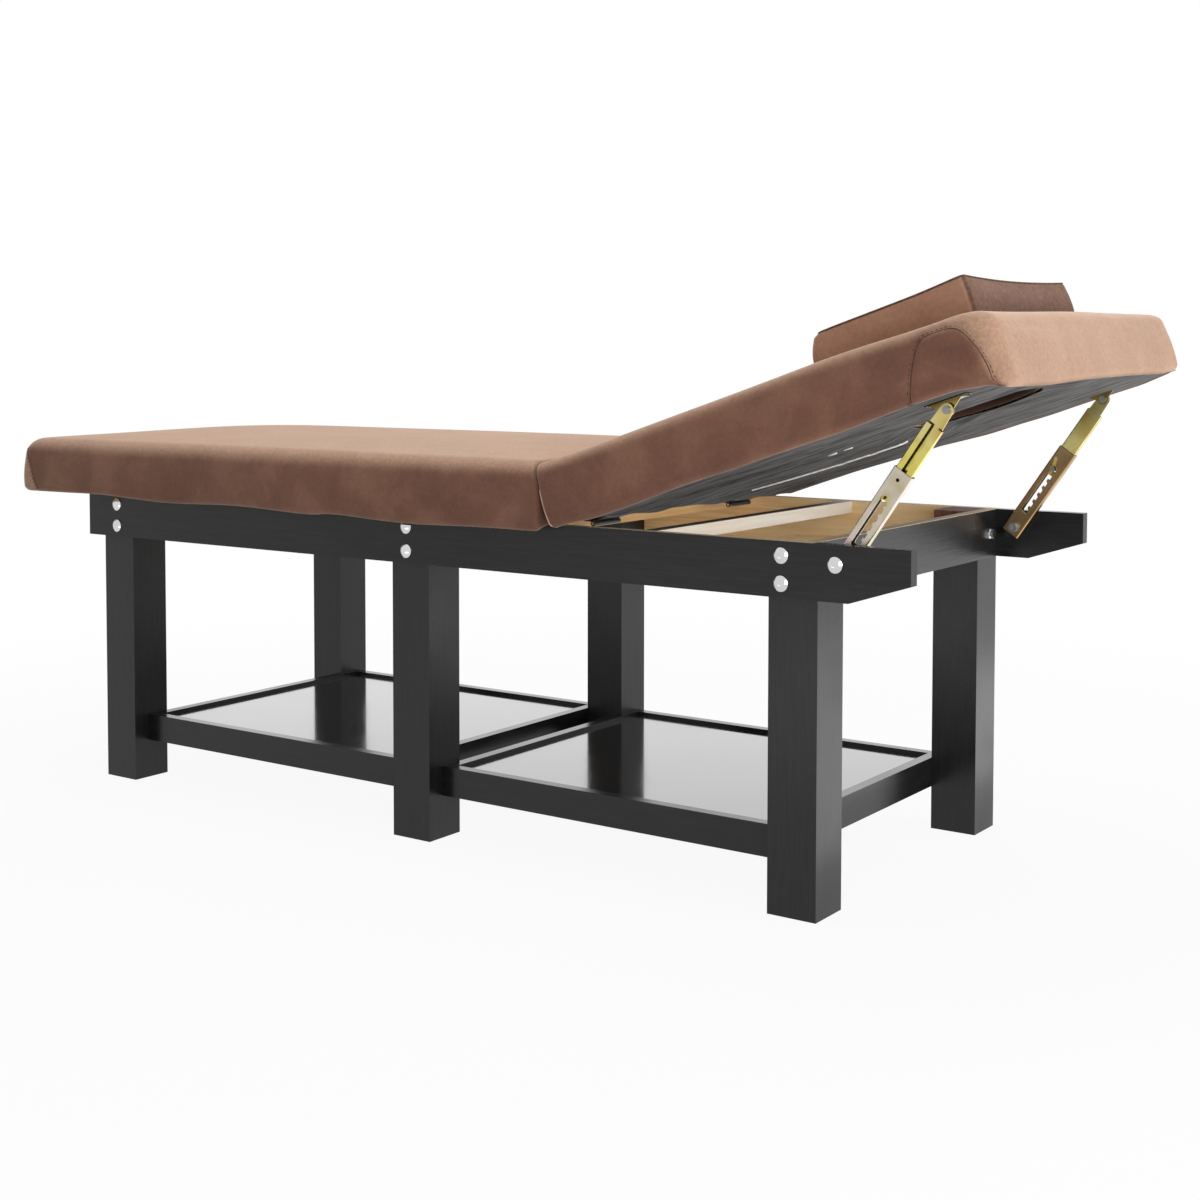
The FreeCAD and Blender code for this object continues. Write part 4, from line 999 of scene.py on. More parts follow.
@dataclass
class SeatPad:
    """Long fixed pad: crowned suede block with a wavy hem and slanted corner seams at its foot end."""

    datum: Datum
    foot_overhang: float = 180.0
    short_of_hinge: float = 12.0
    hem_reach: float = 45.0
    rail_half_width: float = RAIL_HALF_WIDTH
    hem_hang: Line = (
        (-200.0, -5.0), (-60.0, -6.0), (50.0, -6.5), (208.0, -0.5), (380.0, -4.0), (541.0, 1.0),
        (607.0, -2.0), (754.0, 3.5), (911.0, 0.5), (1020.0, 0.5))
    row_gap: float = 3.0        # stitches lie this far from the seam
    seam_foot: Line = ((-157.0, 600.0), (-140.0, 562.0), (-121.0, 516.0))

    def __post_init__(self) -> None:
        """Sets the cushion's sizes from the datum."""
        d = self.datum
        self.form = CushionForm(
            x0=d.foot - self.foot_overhang, x1=d.hinge[0] - self.short_of_hinge,
            half_width=PAD_HALF_WIDTH, bottom=511.0, height=101.0, crown=21.0, edge_round=30.0,
            foot_round=34.0, head_round=6.0, foot_corner=35.0, head_corner=9.0, draw_in=3.0,
            bottom_in=6.0, bottom_rise=10.0, lean_from=67.0, lean_slope=math.tan(math.radians(d.tilt_deg)),
            foot_sweep=6.0, hem=7.0, side_steps=150, end_steps=72, top_steps=36)
        self.cushion = Cushion(self.form)

    def hem_drop(self, x: Array) -> Array:
        """Wave of the hem along the bed, in millimetres: a smooth curve through the places of hem_hang."""
        line = smooth_path(np.array(self.hem_hang), 400)
        return np.interp(x - self.datum.foot, line[:, 0], line[:, 1])

    def points(self) -> Array:
        """Rings of the pad, with its hem wave, trimmed head end and soft swell."""
        p = self.cushion.rings(close=True)
        f = self.form
        carry_hem(p, f, self.hem_drop(p[..., 0]), self.hem_reach)
        trim_hem(p, f, ease((p[..., 0] - (f.x1 - 40)) / 20), self.rail_half_width)
        return self.cushion.swell(p, 1.3, closed_rows=False)

    def stitching(self, piece: bpy.types.Object) -> tuple[Array, Array]:
        """Slanted corner seams at the foot end, each a sunk cord with a row of stitches on both sides."""
        parts = []
        for side in Side:
            line = smooth_path(np.array(self.seam_foot), 60)
            beside = np.full(len(line), side.value * PAD_HALF_WIDTH)
            path = np.stack([line[:, 0] + self.datum.foot, beside, line[:, 1]], axis=1)
            path, normals = lay_on(piece, path)
            parts += [tube(path - SEAM_SINK * normals, SEAM_RADIUS, 6, closed=False)]
            parts += [stitch_row(path, normals, gap) for gap in (-self.row_gap, self.row_gap)]
        return join_parts(parts)

    def build(self, suede: bpy.types.Material, thread: bpy.types.Material) -> list[bpy.types.Object]:
        """Makes the pad and its stitching, hides the CAD cover and foam, and lets it ride.

        Args:
            suede: Finish of the cover.
            thread: Finish of the stitching.

        Returns:
            The pad and its stitching.
        """
        f = self.form
        piece = make_cover("seat_pad", self.points(), False, suede)
        places = read_points(piece)
        hem = ease((f.bottom + 26 - places[:, 2]) / 16)
        end = ease((places[:, 0] - f.x1 + 60) / 30)
        Settling().run(piece, np.maximum(hem, end), SKYWARD)
        # Painted light on the top and on the foot corner panels, out to their slanted seams.
        line = np.array(self.seam_foot)
        seam = np.interp(places[:, 2], line[::-1, 1], line[::-1, 0]) + self.datum.foot
        panel = ease((seam - places[:, 0] + 2) / 4)
        paint_light_by_facing(piece, SKYWARD, np.array([1.0, 0, 0]), top=0.95, head=0.0, panel=panel)
        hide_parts("seat_cover", "seat_foam")
        rows = make_piece("seat_stitching", *self.stitching(piece), thread)
        return attach([piece, rows], "frame")


@dataclass(frozen=True)
class BackrestHem:
    """Lower edge of the backrest's cover, as heights above the hinge line in millimetres."""

    near: float = -5.6
    far_low: float = 2.5        # far side, close to the hinge
    far_high: float = -14.5     # far side towards the head end, before its two rises are added
    head_droop: float = 4.5     # the head end hangs lower by this, up to twice that on the near side

    def height(self, s: Array, y: Array) -> Array:
        """Height of the hem: waves along the near side, a slope on the far side and a droop at the head end.

        Args:
            s: Distance from the hinge.
            y: Distance from the centre line.

        Returns:
            Height above the hinge line, square to the backrest.
        """
        wave = 0.9 * np.sin(s / 61 + 0.5) + 0.5 * np.sin(s / 27 + 2.0)
        corner = 7.0 * ease((s - 655) / 60)
        near = self.near - wave - corner + 5.0 * ease((90 - s) / 60)
        far = self.far_low + (self.far_high - self.far_low) * ease((s - 200) / 330) - 0.4 * wave
        far += 4.0 * ease((s - 390) / 90) + 3.5 * ease((s - 660) / 60)
        share = ease((y + 220) / 440)
        droop = self.head_droop * (1 + ease((-40 - y) / 200)) * ease((s - 705) / 25) * ease((340 - y) / 80)
        return near + (far - near) * share - droop


@dataclass
class BackrestPad:
    """Tilting pad with a face hole, round head end and arched corner panels."""

    datum: Datum
    start: float = 11.5
    end: float = 736.0
    hole_from_hinge: float = HOLE_FROM_HINGE
    hole_radius: float = 91.0
    hole_round: float = 14.0
    side_ring: int = 10         # a ring on the upright sides
    board: float = 6.1          # height of the board's underside above the hinge line
    hem: float = 14.0           # the cover hangs this far below it
    hem_reach: float = 45.0
    rail_half_width: float = RAIL_HALF_WIDTH
    fall_from: float = 590.0    # from here the whole top falls towards the head end
    corner_drop: float = 6.0    # the near head corner has sunk this far
    arch: Line = (
        (605.0, -14.0), (608.0, 4.0), (621.0, 35.0), (639.0, 66.0), (655.0, 74.0), (680.0, 73.0),
        (697.0, 63.0), (709.0, 43.0), (719.0, 12.0), (722.0, -14.0))
    row_gap: float = 3.2        # stitches lie this far outside the arch
    seam_depth: float = 1.4
    seam_width: float = 4.0
    top_line: Line = (
        (0.0, 0.0), (90.0, -4.5), (300.0, -5.0), (470.0, -5.0), (560.0, -5.5), (620.0, -6.5), (690.0, -7.0),
        (736.0, -6.0))
    piping: Line = ((10.0, 58.0), (11.0, 40.0), (13.5, 18.0), (15.5, -2.0))
    piping_radius: float = 1.0
    piping_rise: float = 0.2
    line: BackrestHem = BackrestHem()

    def __post_init__(self) -> None:
        """Sets the cushion's sizes from the datum."""
        h = self.datum.hinge
        self.form = CushionForm(
            x0=h[0] + self.start, x1=h[0] + self.end, half_width=PAD_HALF_WIDTH,
            bottom=h[2] + self.board - self.hem, height=106.0, crown=6.0, edge_round=24.0, foot_round=6.0,
            head_round=42.0, foot_corner=9.0, head_corner=36.0, draw_in=3.0, bottom_in=6.0,
            bottom_rise=10.0, hem=self.hem, side_steps=170, end_steps=90,
            corner_steps=16, rise_steps=30, top_steps=30)
        self.cushion = Cushion(self.form)

    def close_on_hole(self, p: Array) -> Array:
        """Carries the top and the underside from the outline to the face hole, and lines the hole.

        A point moves along a straight line from the outline to the point of the hole's circle in the same
        direction from its centre. The rim turns down on a quarter circle and the wall runs down to the
        underside, where the last ring meets the first.

        Args:
            p: Rings of the flat cushion, not yet closed.

        Returns:
            Rings that join the last to the first.
        """
        f, i = self.form, self.cushion.insets()
        centre = np.array([self.datum.hinge[0] + self.hole_from_hinge, 0.0])
        outward = unit(p[self.side_ring, :, :2] - centre)
        rim = centre + outward * (self.hole_radius + self.hole_round)
        share = i["t"][:, None, None]
        p = p.copy()
        p[..., :2] = (1 - share) * p[..., :2] + share * rim[None]
        p[0, :, :2] = centre + outward * (self.hole_radius + 6.0)
        turn = np.radians(np.linspace(0, 90, 6)[1:])
        top = f.bottom + f.height + f.crown
        floor = f.bottom + f.hem - 1.2
        heights = np.concatenate([top - self.hole_round * (1 - np.cos(turn)),
                                  np.linspace(top - self.hole_round, floor, 12)[1:]])
        radii = np.concatenate([self.hole_radius + self.hole_round * (1 - np.sin(turn)),
                                np.full(11, self.hole_radius)])
        wall = np.empty((len(heights), p.shape[1], 3))
        wall[..., :2] = centre + outward[None] * radii[:, None, None]
        wall[..., 2] = heights[:, None]
        return np.concatenate([p, wall])

    def hem_drop(self, p: Array) -> Array:
        """How far the hem hangs below the cushion's bottom, in millimetres."""
        h = self.datum.hinge
        return self.form.bottom - h[2] - self.line.height(p[..., 0] - h[0], p[..., 1])

    def bend_top(self, p: Array) -> None:
        """Carries the long top edges along the curve of top_line, in place, beside the pillow's reach."""
        line = smooth_path(np.array(self.top_line), 300)
        s = p[..., 0] - self.datum.hinge[0]
        rise = np.interp(s, line[:, 0], line[:, 1])
        rise -= self.corner_drop * ease((s - 480) / 200) * ease((60 - p[..., 1]) / 380)
        beside = np.maximum(ease((np.abs(p[..., 1]) - 200) / 110), ease((s - self.fall_from) / 100))
        p[..., 2] += rise * beside * ease((p[..., 2] - self.form.bottom - 30) / 50)

    def seams(self, p: Array) -> Array:
        """Distance of each point of the flat pad to the arched seam of its side, in millimetres."""
        h = self.datum.hinge
        path = smooth_path(np.array(self.arch), 160)
        flat = np.stack([p[..., 0] - h[0], p[..., 2] - h[2]], axis=-1)
        gap = np.full(p.shape[:2], 1e3)
        beside = (np.abs(p[..., 1]) > 325) & (flat[..., 0] > 580) & (flat[..., 1] < 95)
        gap[beside] = distance_to_path(flat[beside], path)
        return gap

    def flat_points(self) -> Array:
        """Rings of the flat pad, with hem, seams and soft swell."""
        f = self.form
        p = self.close_on_hole(self.cushion.rings(close=False))
        outer = np.arange(p.shape[0])[:, None] < len(self.cushion.insets()["t"])
        carry_hem(p, f, self.hem_drop(p) * (outer & (p[..., 2] < f.bottom + 60)), self.hem_reach)
        end = ease((f.x0 + 44 - p[..., 0]) / 20)
        trim_hem(p, f, end * outer, self.rail_half_width)
        self.bend_top(p)
        p = self.cushion.swell(p, 1.1, closed_rows=True)
        sink = self.seam_depth * np.exp(-(self.seams(p) / self.seam_width) ** 2)
        return p - sink[..., None] * ring_normals(p, closed_rows=True)

    def panel(self, flat: Array) -> Array:
        """Painted light of the head panel where it wraps round the corners, up to the arch's headward branch.
        """
        h = self.datum.hinge
        branch = np.array(self.arch)[5:]
        s, n = flat[:, 0] - h[0], flat[:, 2] - h[2]
        edge = np.interp(n, branch[::-1, 1], branch[::-1, 0]) - np.clip(n - branch[0, 1], 0, None) * 1.2
        return 0.86 * ease((s - edge + 3) / (6 + 14 * ease((n - 60) / 30))) * (np.abs(flat[:, 1]) > 300)

    def on_sides(self, piece: bpy.types.Object, line: Line, side: Side) -> tuple[Array, Array]:
        """Path on the raised pad's side, from places along and square to the backrest.

        Args:
            piece: The raised pad.
            line: Places in millimetres from the hinge.
            side: Side of the bed.

        Returns:
            Points on the pad and its normals there.
        """
        curve = smooth_path(np.array(line), 170)
        flat = np.stack([curve[:, 0], np.full(len(curve), side.value * PAD_HALF_WIDTH), curve[:, 1]], axis=1)
        return lay_on(piece, self.datum.raised(flat + self.datum.hinge))

    def build(self, suede: bpy.types.Material, thread: bpy.types.Material,
              piping: bpy.types.Material) -> list[bpy.types.Object]:
        """Makes the raised pad, its stitching and piping, and lets them ride.

        Args:
            suede: Finish of the cover.
            thread: Finish of the stitching.
            piping: Finish of the lower end's corded edge.

        Returns:
            The pad, its stitching and its piping.
        """
        f = self.form
        piece = make_cover("backrest_pad", self.datum.raised(self.flat_points()), True, suede)
        flat = self.datum.flat(read_points(piece))
        hem = ease((f.bottom + 30 - flat[:, 2]) / 16)
        end = ease((f.x0 + 60 - flat[:, 0]) / 30)
        hole = np.hypot(flat[:, 0] - self.datum.hinge[0] - self.hole_from_hinge, flat[:, 1])
        under_pillow = ease((250 - hole) / 40)
        # Painted shade on the wall of the face hole.
        wall = ease((self.hole_radius + 8 - hole) / 4)
        Settling().run(piece, np.maximum.reduce([hem, end, under_pillow]), self.datum.up)
        # Painted light on the top, the head end and the corner panels; painted shade in the face hole.
        paint_light_by_facing(piece, self.datum.up, self.datum.ahead, top=0.85, head=0.82, panel=self.panel(flat),
              hole_shade=wall)
        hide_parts("backrest_cover", "backrest_foam")
        rows, cords = [], []
        for side in Side:
            path, normals = self.on_sides(piece, self.arch, side)
            rows += [tube(path - SEAM_SINK * normals, SEAM_RADIUS, 6, closed=False)]
            rows += [stitch_row(path, normals, side.value * self.row_gap)]
            path, normals = self.on_sides(piece, self.piping, side)
            cords += [tube(path + self.piping_rise * normals, self.piping_radius, 8, closed=False)]
        stitching = make_piece("backrest_stitching", *join_parts(rows), thread)
        edge = make_piece("backrest_piping", *join_parts(cords), piping)
        return attach([piece, stitching, edge], "backrest")


@dataclass
class Pillow:
    """Loose head pillow: soft boxed cushion with a dark welt round its top edge."""

    datum: Datum
    from_hinge: float = 526.0
    length: float = 256.0
    width: float = 380.0
    bottom: float = 103.4
    welt_radius: float = 1.3
    welt_ring: int = 7          # the welt lies this many rings past the upright sides

    def __post_init__(self) -> None:
        """Sets the cushion's sizes from the datum."""
        h = self.datum.hinge
        x = h[0] + self.from_hinge
        self.form = CushionForm(
            x0=x - self.length / 2 + 4, x1=x + self.length / 2 + 3, half_width=self.width / 2 + 1,
            bottom=h[2] + self.bottom, height=54.5, crown=4.0, edge_round=9.0, foot_round=26.0,
            head_round=8.0, foot_corner=20.0, head_corner=9.0, draw_in=3.0, bottom_in=3.0, bottom_rise=8.0,
            bulge=2.0, foot_sweep=12.0, hem=0.0, hem_turn=3.0, board_in=0.0, side_steps=60, end_steps=84,
            corner_steps=8, rise_steps=14, top_steps=22)
        self.cushion = Cushion(self.form)

    def flat_points(self) -> Array:
        """Rings of the flat pillow, dipping between its top corners and sagging onto the pad behind."""
        p = self.cushion.rings(close=True)
        f = self.form
        up = ease((p[..., 2] - f.bottom) / f.height)
        middle = np.clip(1 - (p[..., 1] / f.half_width) ** 2, 0, 1)
        head = ease((p[..., 0] - (f.x1 - 90)) / 90)
        p[..., 2] -= (3.0 * middle - 2.0) * up * head
        s = p[..., 0] - self.datum.hinge[0]
        p[..., 2] -= (1 - up) * (1.5 + 5.0 * ease((s - 580) / 90))
        return self.cushion.swell(p, 1.2, closed_rows=False)

    def build(self, suede: bpy.types.Material, welt: bpy.types.Material) -> list[bpy.types.Object]:
        """Makes the pillow and its welt, and lets them ride.

        Args:
            suede: Finish of the cover.
            welt: Finish of the piped edge.

        Returns:
            The pillow and the welt.
        """
        p = self.datum.raised(self.flat_points())
        piece = make_cover("pillow_cushion", p, False, suede)
        flat = self.datum.flat(read_points(piece))
        Settling().run(piece, ease((self.form.bottom + 12 - flat[:, 2]) / 8), self.datum.up)
        # Painted shade: the pillow's top and head end take the darker colour, by the way they face.
        paint_light_by_facing(piece, self.datum.up, self.datum.ahead, top=0.5, head=1.0, panel=np.zeros(len(flat)))
        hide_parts("pillow_cover", "pillow_foam")
        edge, normals = lay_on(piece, p[self.form.rise_steps + self.welt_ring])
        points, faces = tube(edge + 0.4 * normals, self.welt_radius, 8, closed=True)
        cord = make_piece("pillow_welt", points, faces, welt)
        return attach([piece, cord], "pillow")


@dataclass
class DustLining:
    """Slack dust cloth under the backrest, stapled along the hem, with long creases and a face hole."""

    datum: Datum
    start: float = 16.0
    end: float = 726.0
    half_width: float = 350.0
    hole_from_hinge: float = HOLE_FROM_HINGE
    hole_radius: float = 95.0
    board: float = 5.3          # height above the hinge line where the cloth lies on the board
    thickness: float = 0.8
    selvedge_radius: float = 1.6
    pressed: float = 0.005      # share of the slack that is left when the backrest lies flat
    anchor: float = 300.0       # a place on the board, along the backrest
    rows: int = 64
    line: BackrestHem = BackrestHem()
    slit: Line = ((150.0, -6.0), (220.0, 2.0), (300.0, 12.0), (409.0, 27.0))
    nicks: Line = ((367.0, -135.0), (384.0, -116.0))

    def height(self, s: Array, y: Array) -> Array:
        """Slack: deepest in the middle of the length, with creases along the bed that fan out from the hinge.

        Args:
            s: Distance from the hinge, in millimetres.
            y: Distance from the centre line.

        Returns:
            Height above the hinge line, square to the backrest.
        """
        loose = 9.5 + 1.6 * np.sin(y / 33 + 0.4) + 1.1 * np.sin(y / 14)
        slack = loose * ease((s - 16) / 55) + 3.0 * ease((s - 120) / 220)
        hem = (self.board - self.line.height(s, y) - 0.6) * ease((s - 20) / 70)
        side = ease((np.abs(y) - 250) / 95)
        crease = (1.8 * np.sin(y / 15 + 1.2 * np.sin(s / 140)) + 1.4 * np.sin(y / 27 + s / 190 + 1.0)
                  + 1.0 * np.sin(y / 9 - s / 120))
        fan = ease((s - 40) / 120) * (0.35 + 0.65 * ease((520 - s) / 300))
        rim = np.hypot(s - self.hole_from_hinge, y) - self.hole_radius
        calm = 0.3 + 0.7 * ease(rim / 60)
        return self.board - slack * calm * (1 - side) - hem * side - crease * fan * (1 - 0.6 * side)

    def flatten(self, piece: bpy.types.Object) -> None:
        """Gives a piece a mesh of its own."""
        board = self.datum.raised(self.datum.hinge + np.array([self.anchor, 0.0, self.board])) * MM
        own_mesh(piece)

    def trims(self, selvedge: bpy.types.Material) -> bpy.types.Object:
        """Pale notched selvedge along the cloth's middle, and two staples beside it.

        Args:
            selvedge: Finish of the strip and the staples.

        Returns:
            The strip and staples as one piece.
        """
        parts = []
        run = smooth_path(np.array(self.slit), 260)
        notch = 4.0 * (np.sin(run[:, 0] / 5.5) * np.sin(run[:, 0] / 17) > 0.35) * ease((run[:, 0] - 260) / 60)
        lines = [np.stack([run[:, 0], run[:, 1] + notch], axis=1)]
        lines += [np.array([[s - 7.0, y], [s, y + 1.0], [s + 7.0, y]]) for s, y in self.nicks]
        for line in lines:
            rise = self.height(line[:, 0], line[:, 1]) - self.thickness
            places = np.stack([line[:, 0], line[:, 1], rise], axis=1) + self.datum.hinge
            parts.append(tube(self.datum.raised(places), self.selvedge_radius, 6, closed=False))
        strip = make_piece("lining_selvedge", *join_parts(parts), selvedge)
        attach([strip], "backrest")
        self.flatten(strip)
        return strip

    def build(self, cloth: bpy.types.Material, selvedge: bpy.types.Material,
              hem: str) -> list[bpy.types.Object]:
        """Makes the cloth from the outline to the face hole, and lets it ride on the backrest.

        Args:
            cloth: Finish of the cloth.
            selvedge: Finish of its pale edge strip.
            hem: Name of the pad that it is stapled to. Not used.

        Returns:
            The cloth and its selvedge.
        """
        h = self.datum.hinge
        a = np.linspace(0, 1, 120, endpoint=False)
        s0, s1, y = self.start, self.end, self.half_width
        outline = np.concatenate([
            np.stack([s0 + (s1 - s0) * a, -y + 0 * a], 1), np.stack([s1 + 0 * a, -y + 2 * y * a], 1),
            np.stack([s1 - (s1 - s0) * a, y + 0 * a], 1), np.stack([s0 + 0 * a, y - 2 * y * a], 1)])
        centre = np.array([self.hole_from_hinge, 0.0])
        outward = unit(outline - centre)
        rim = centre + outward * self.hole_radius
        t = np.linspace(0, 1, self.rows)[:, None, None]
        flat = (1 - t) * outline[None] + t * rim[None]
        rise = self.height(flat[..., 0], flat[..., 1])
        p = np.stack([flat[..., 0], flat[..., 1], rise], axis=-1) + np.array([h[0], 0, h[2]])
        faces = grid_faces(self.rows, len(outline), closed_rows=False)
        piece = make_piece("dust_lining", self.datum.raised(p), faces, cloth)
        wall = piece.modifiers.new("thickness", "SOLIDIFY")
        wall.thickness = self.thickness * MM
        wall.offset = 1.0
        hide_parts("backrest_lining")
        attach([piece], "backrest")
        self.flatten(piece)
        return [piece, self.trims(selvedge)]


# Woodwork and metal


Finishes = tuple[tuple[str, bpy.types.Material], ...]


def dress(nodes: dict[str, bpy.types.Object], finishes: Finishes) -> None:
    """Gives CAD nodes their finishes.

    Args:
        nodes: The nodes by name.
        finishes: Name patterns and finishes. The first pattern that a name fits counts.
    """
    for name, node in nodes.items():
        material = next((finish for pattern, finish in finishes if fnmatchcase(name, pattern)), None)
        if material is None:
            continue
        if not node.material_slots:
            node.data.materials.append(material)
        for slot in node.material_slots:
            slot.material = material


class WoodFrame:
    """Legs, rails, aprons, slats and shelves of the CAD frame, dressed in lacquer and bare pine."""

    top_skin = 0.4              # faces within this distance of a member's top count as its top
    lap = 3.5                   # lacquer laps this far over a rail's bare top edge
    film_end = 20.0             # lacquer on the legs ends this far above the rails' lower edge

    def __init__(self, nodes: dict[str, bpy.types.Object]) -> None:
        """Keeps the CAD nodes."""
        self.nodes = nodes

    @staticmethod
    def box_mm(node: str) -> tuple[Array, Array]:
        """Lowest and highest corner of a node, in millimetres."""
        low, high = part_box(node)
        return np.array(low) / MM, np.array(high) / MM

    def rail_finish(self) -> bpy.types.Material:
        """Side rails: black outside, bare inside between the aprons and on the inner part of the top."""
        low, high = self.box_mm("side_rail_far")
        foot = self.box_mm("foot_apron")[0][0]
        head = self.box_mm("head_apron")[1][0]
        inside = Bare(((3, low[1] + self.top_skin, False), (0, foot, True), (0, head, False)))
        top = Bare(((2, high[2] - self.top_skin, True), (3, high[1] - self.lap, False), (0, foot, True),
                    (0, head, False)), "#F0E2CC", "#DCC6A6")
        return PartLacquered("lacquered rail, bare inside", Run.LENGTHWISE, (inside, top),
                             index=1.36).material()

    def apron_finish(self, node: str, inner_above: bool) -> bpy.types.Material:
        """Apron: black outside, bare towards the bay and along its top.

        Args:
            node: The apron.
            inner_above: Whether its inner face looks towards the head end.

        Returns:
            The finish.
        """
        low, high = self.box_mm(node)
        limit = high[0] - self.top_skin if inner_above else low[0] + self.top_skin
        inside = Bare(((0, limit, inner_above),))
        top = Bare(((2, high[2] - self.top_skin, True),), "#DCC9AE", "#C7AC8A")
        return PartLacquered(f"lacquered {node.replace('_', ' ')}, bare inside", Run.CROSSWISE, (inside, top),
                             film=Lacquer("ridged film", Run.CROSSWISE, ridge=0.8, grain_mm=2.2),
                             index=1.55).material()

    def leg_finish(self) -> bpy.types.Material:
        """Legs: black, and between the rails bare wood, painted dark red-brown on the far legs as shade in
        the frame's inside corners.
        """
        above = (2, self.box_mm("side_rail_far")[0][2] + self.film_end, True)
        # Painted shade: the far legs' tops in the inside corners are bare wood painted dark red-brown.
        shaded_far_top = Bare((above, (1, 0.0, True)), "#7A4E41", "#5E3A30")
        dry = Bare((above, (1, 0.0, False)))
        return PartLacquered("lacquered leg, primed or bare top", Run.UPRIGHT, (shaded_far_top, dry)).material()

    def slat_finish(self) -> bpy.types.Material:
        """Slats: creamy planed pine with a dark-brushed top."""
        high = self.box_mm("foot_bay_slat_footward")[1]
        sides = Bare(((2, high[2] - self.top_skin, False),), "#F3EADD", "#E8DAC6")
        return PartLacquered("planed slat with brushed top", Run.CROSSWISE, (sides,),
                             film=Lacquer("brushed film", Run.CROSSWISE, 0.5, dark="#4A443A",
                                          light="#6E665A")).material()

    def dress(self) -> None:
        """Gives every wooden node its finish."""
        along = Lacquer("black lacquer, lengthwise grain", Run.LENGTHWISE, 0.22).material()
        across = Lacquer("black lacquer, crosswise grain", Run.CROSSWISE, 0.22).material()
        panel = Lacquer("gloss lacquered panel", Run.LENGTHWISE, 0.12, ridge=0.03, coat=0.35, index=1.6)
        everywhere = ((2, 0.0, True),)
        ply = PartLacquered("dry birch plywood", Run.LENGTHWISE, (Bare(everywhere),))
        pine = PartLacquered("dry pine slat", Run.CROSSWISE, (Bare(everywhere, "#DDB784", "#CDA46C"),))
        dress(self.nodes, (
            ("leg_*", self.leg_finish()), ("side_rail_*", self.rail_finish()),
            ("foot_apron", self.apron_finish("foot_apron", inner_above=True)),
            ("head_apron", self.apron_finish("head_apron", inner_above=False)),
            ("head_bay_slat_footward", pine.material()), ("*_slat_*", self.slat_finish()),
            ("*_panel", panel.material()), ("*_shelf_front_rail", along), ("*_shelf_back_rail", along),
            ("*_shelf_*", across), ("strut_blocks", along), ("*_board", ply.material())))


class Fittings:
    """Hinges, ratchet struts, bolts and screws of the CAD frame, dressed in their plating."""

    def __init__(self, nodes: dict[str, bpy.types.Object]) -> None:
        """Keeps the CAD nodes."""
        self.nodes = nodes

    def dress(self) -> None:
        """Gives every metal node its plating."""
        gold = Plated("yellow zinc plate", "#CDC268", "#B09646", "#D6CF96", 0.20).material()
        amber = Plated("amber zinc plate", "#A98E4C", "#8C6A36", "#A99A5A", 0.24).material()
        pale = Plated("pale yellow zinc plate", "#BFB4A8", "#ABA382", "#C0ACA4", 0.28).material()
        bronze = Plated("bronze tinted zinc plate", "#A58762", "#8D724F", "#B09A74", 0.30).material()
        chrome = Plated("polished chrome", "#D6D6D6", "#CBCBCC", "#D0D0D2", 0.07, scratch=0.02).material()
        zinc = Plated("dull zinc plate", "#A5A6A6", "#8C8D8E", "#9A9B9C", 0.34).material()
        dark = Plated("black zinc plate", "#4C4B4A", "#403F3F", "#575553", 0.36).material()
        dress(self.nodes, (
            ("strut_sleeve_near", pale), ("strut_sleeve_far", bronze), ("strut_bracket_*", amber),
            ("strut_rod_*", gold), ("hinge_*_leaf_*", dark), ("hinge_*", chrome), ("rail_bolts", chrome),
            ("pivot_bolts", chrome), ("apron_bolts", chrome), ("backrest_screws", chrome),
            ("rail_bolt_inserts", zinc), ("pivot_*", zinc), ("*_screws", zinc), ("rivet_*", zinc),
            ("pawl_pin_*", zinc)))


# Studio


def any_ray(tree: bpy.types.NodeTree, *kinds: str) -> bpy.types.NodeSocket:
    """Value that is 1 for rays of the given kinds, named as outputs of the light path, and 0 for others."""
    path = add_node(tree, "LightPath").outputs
    seen = path[kinds[0]]
    for kind in kinds[1:]:
        seen = add_node(tree, "Math", {"operation": "MAXIMUM"}, {0: seen, 1: path[kind]}).outputs[0]
    return seen


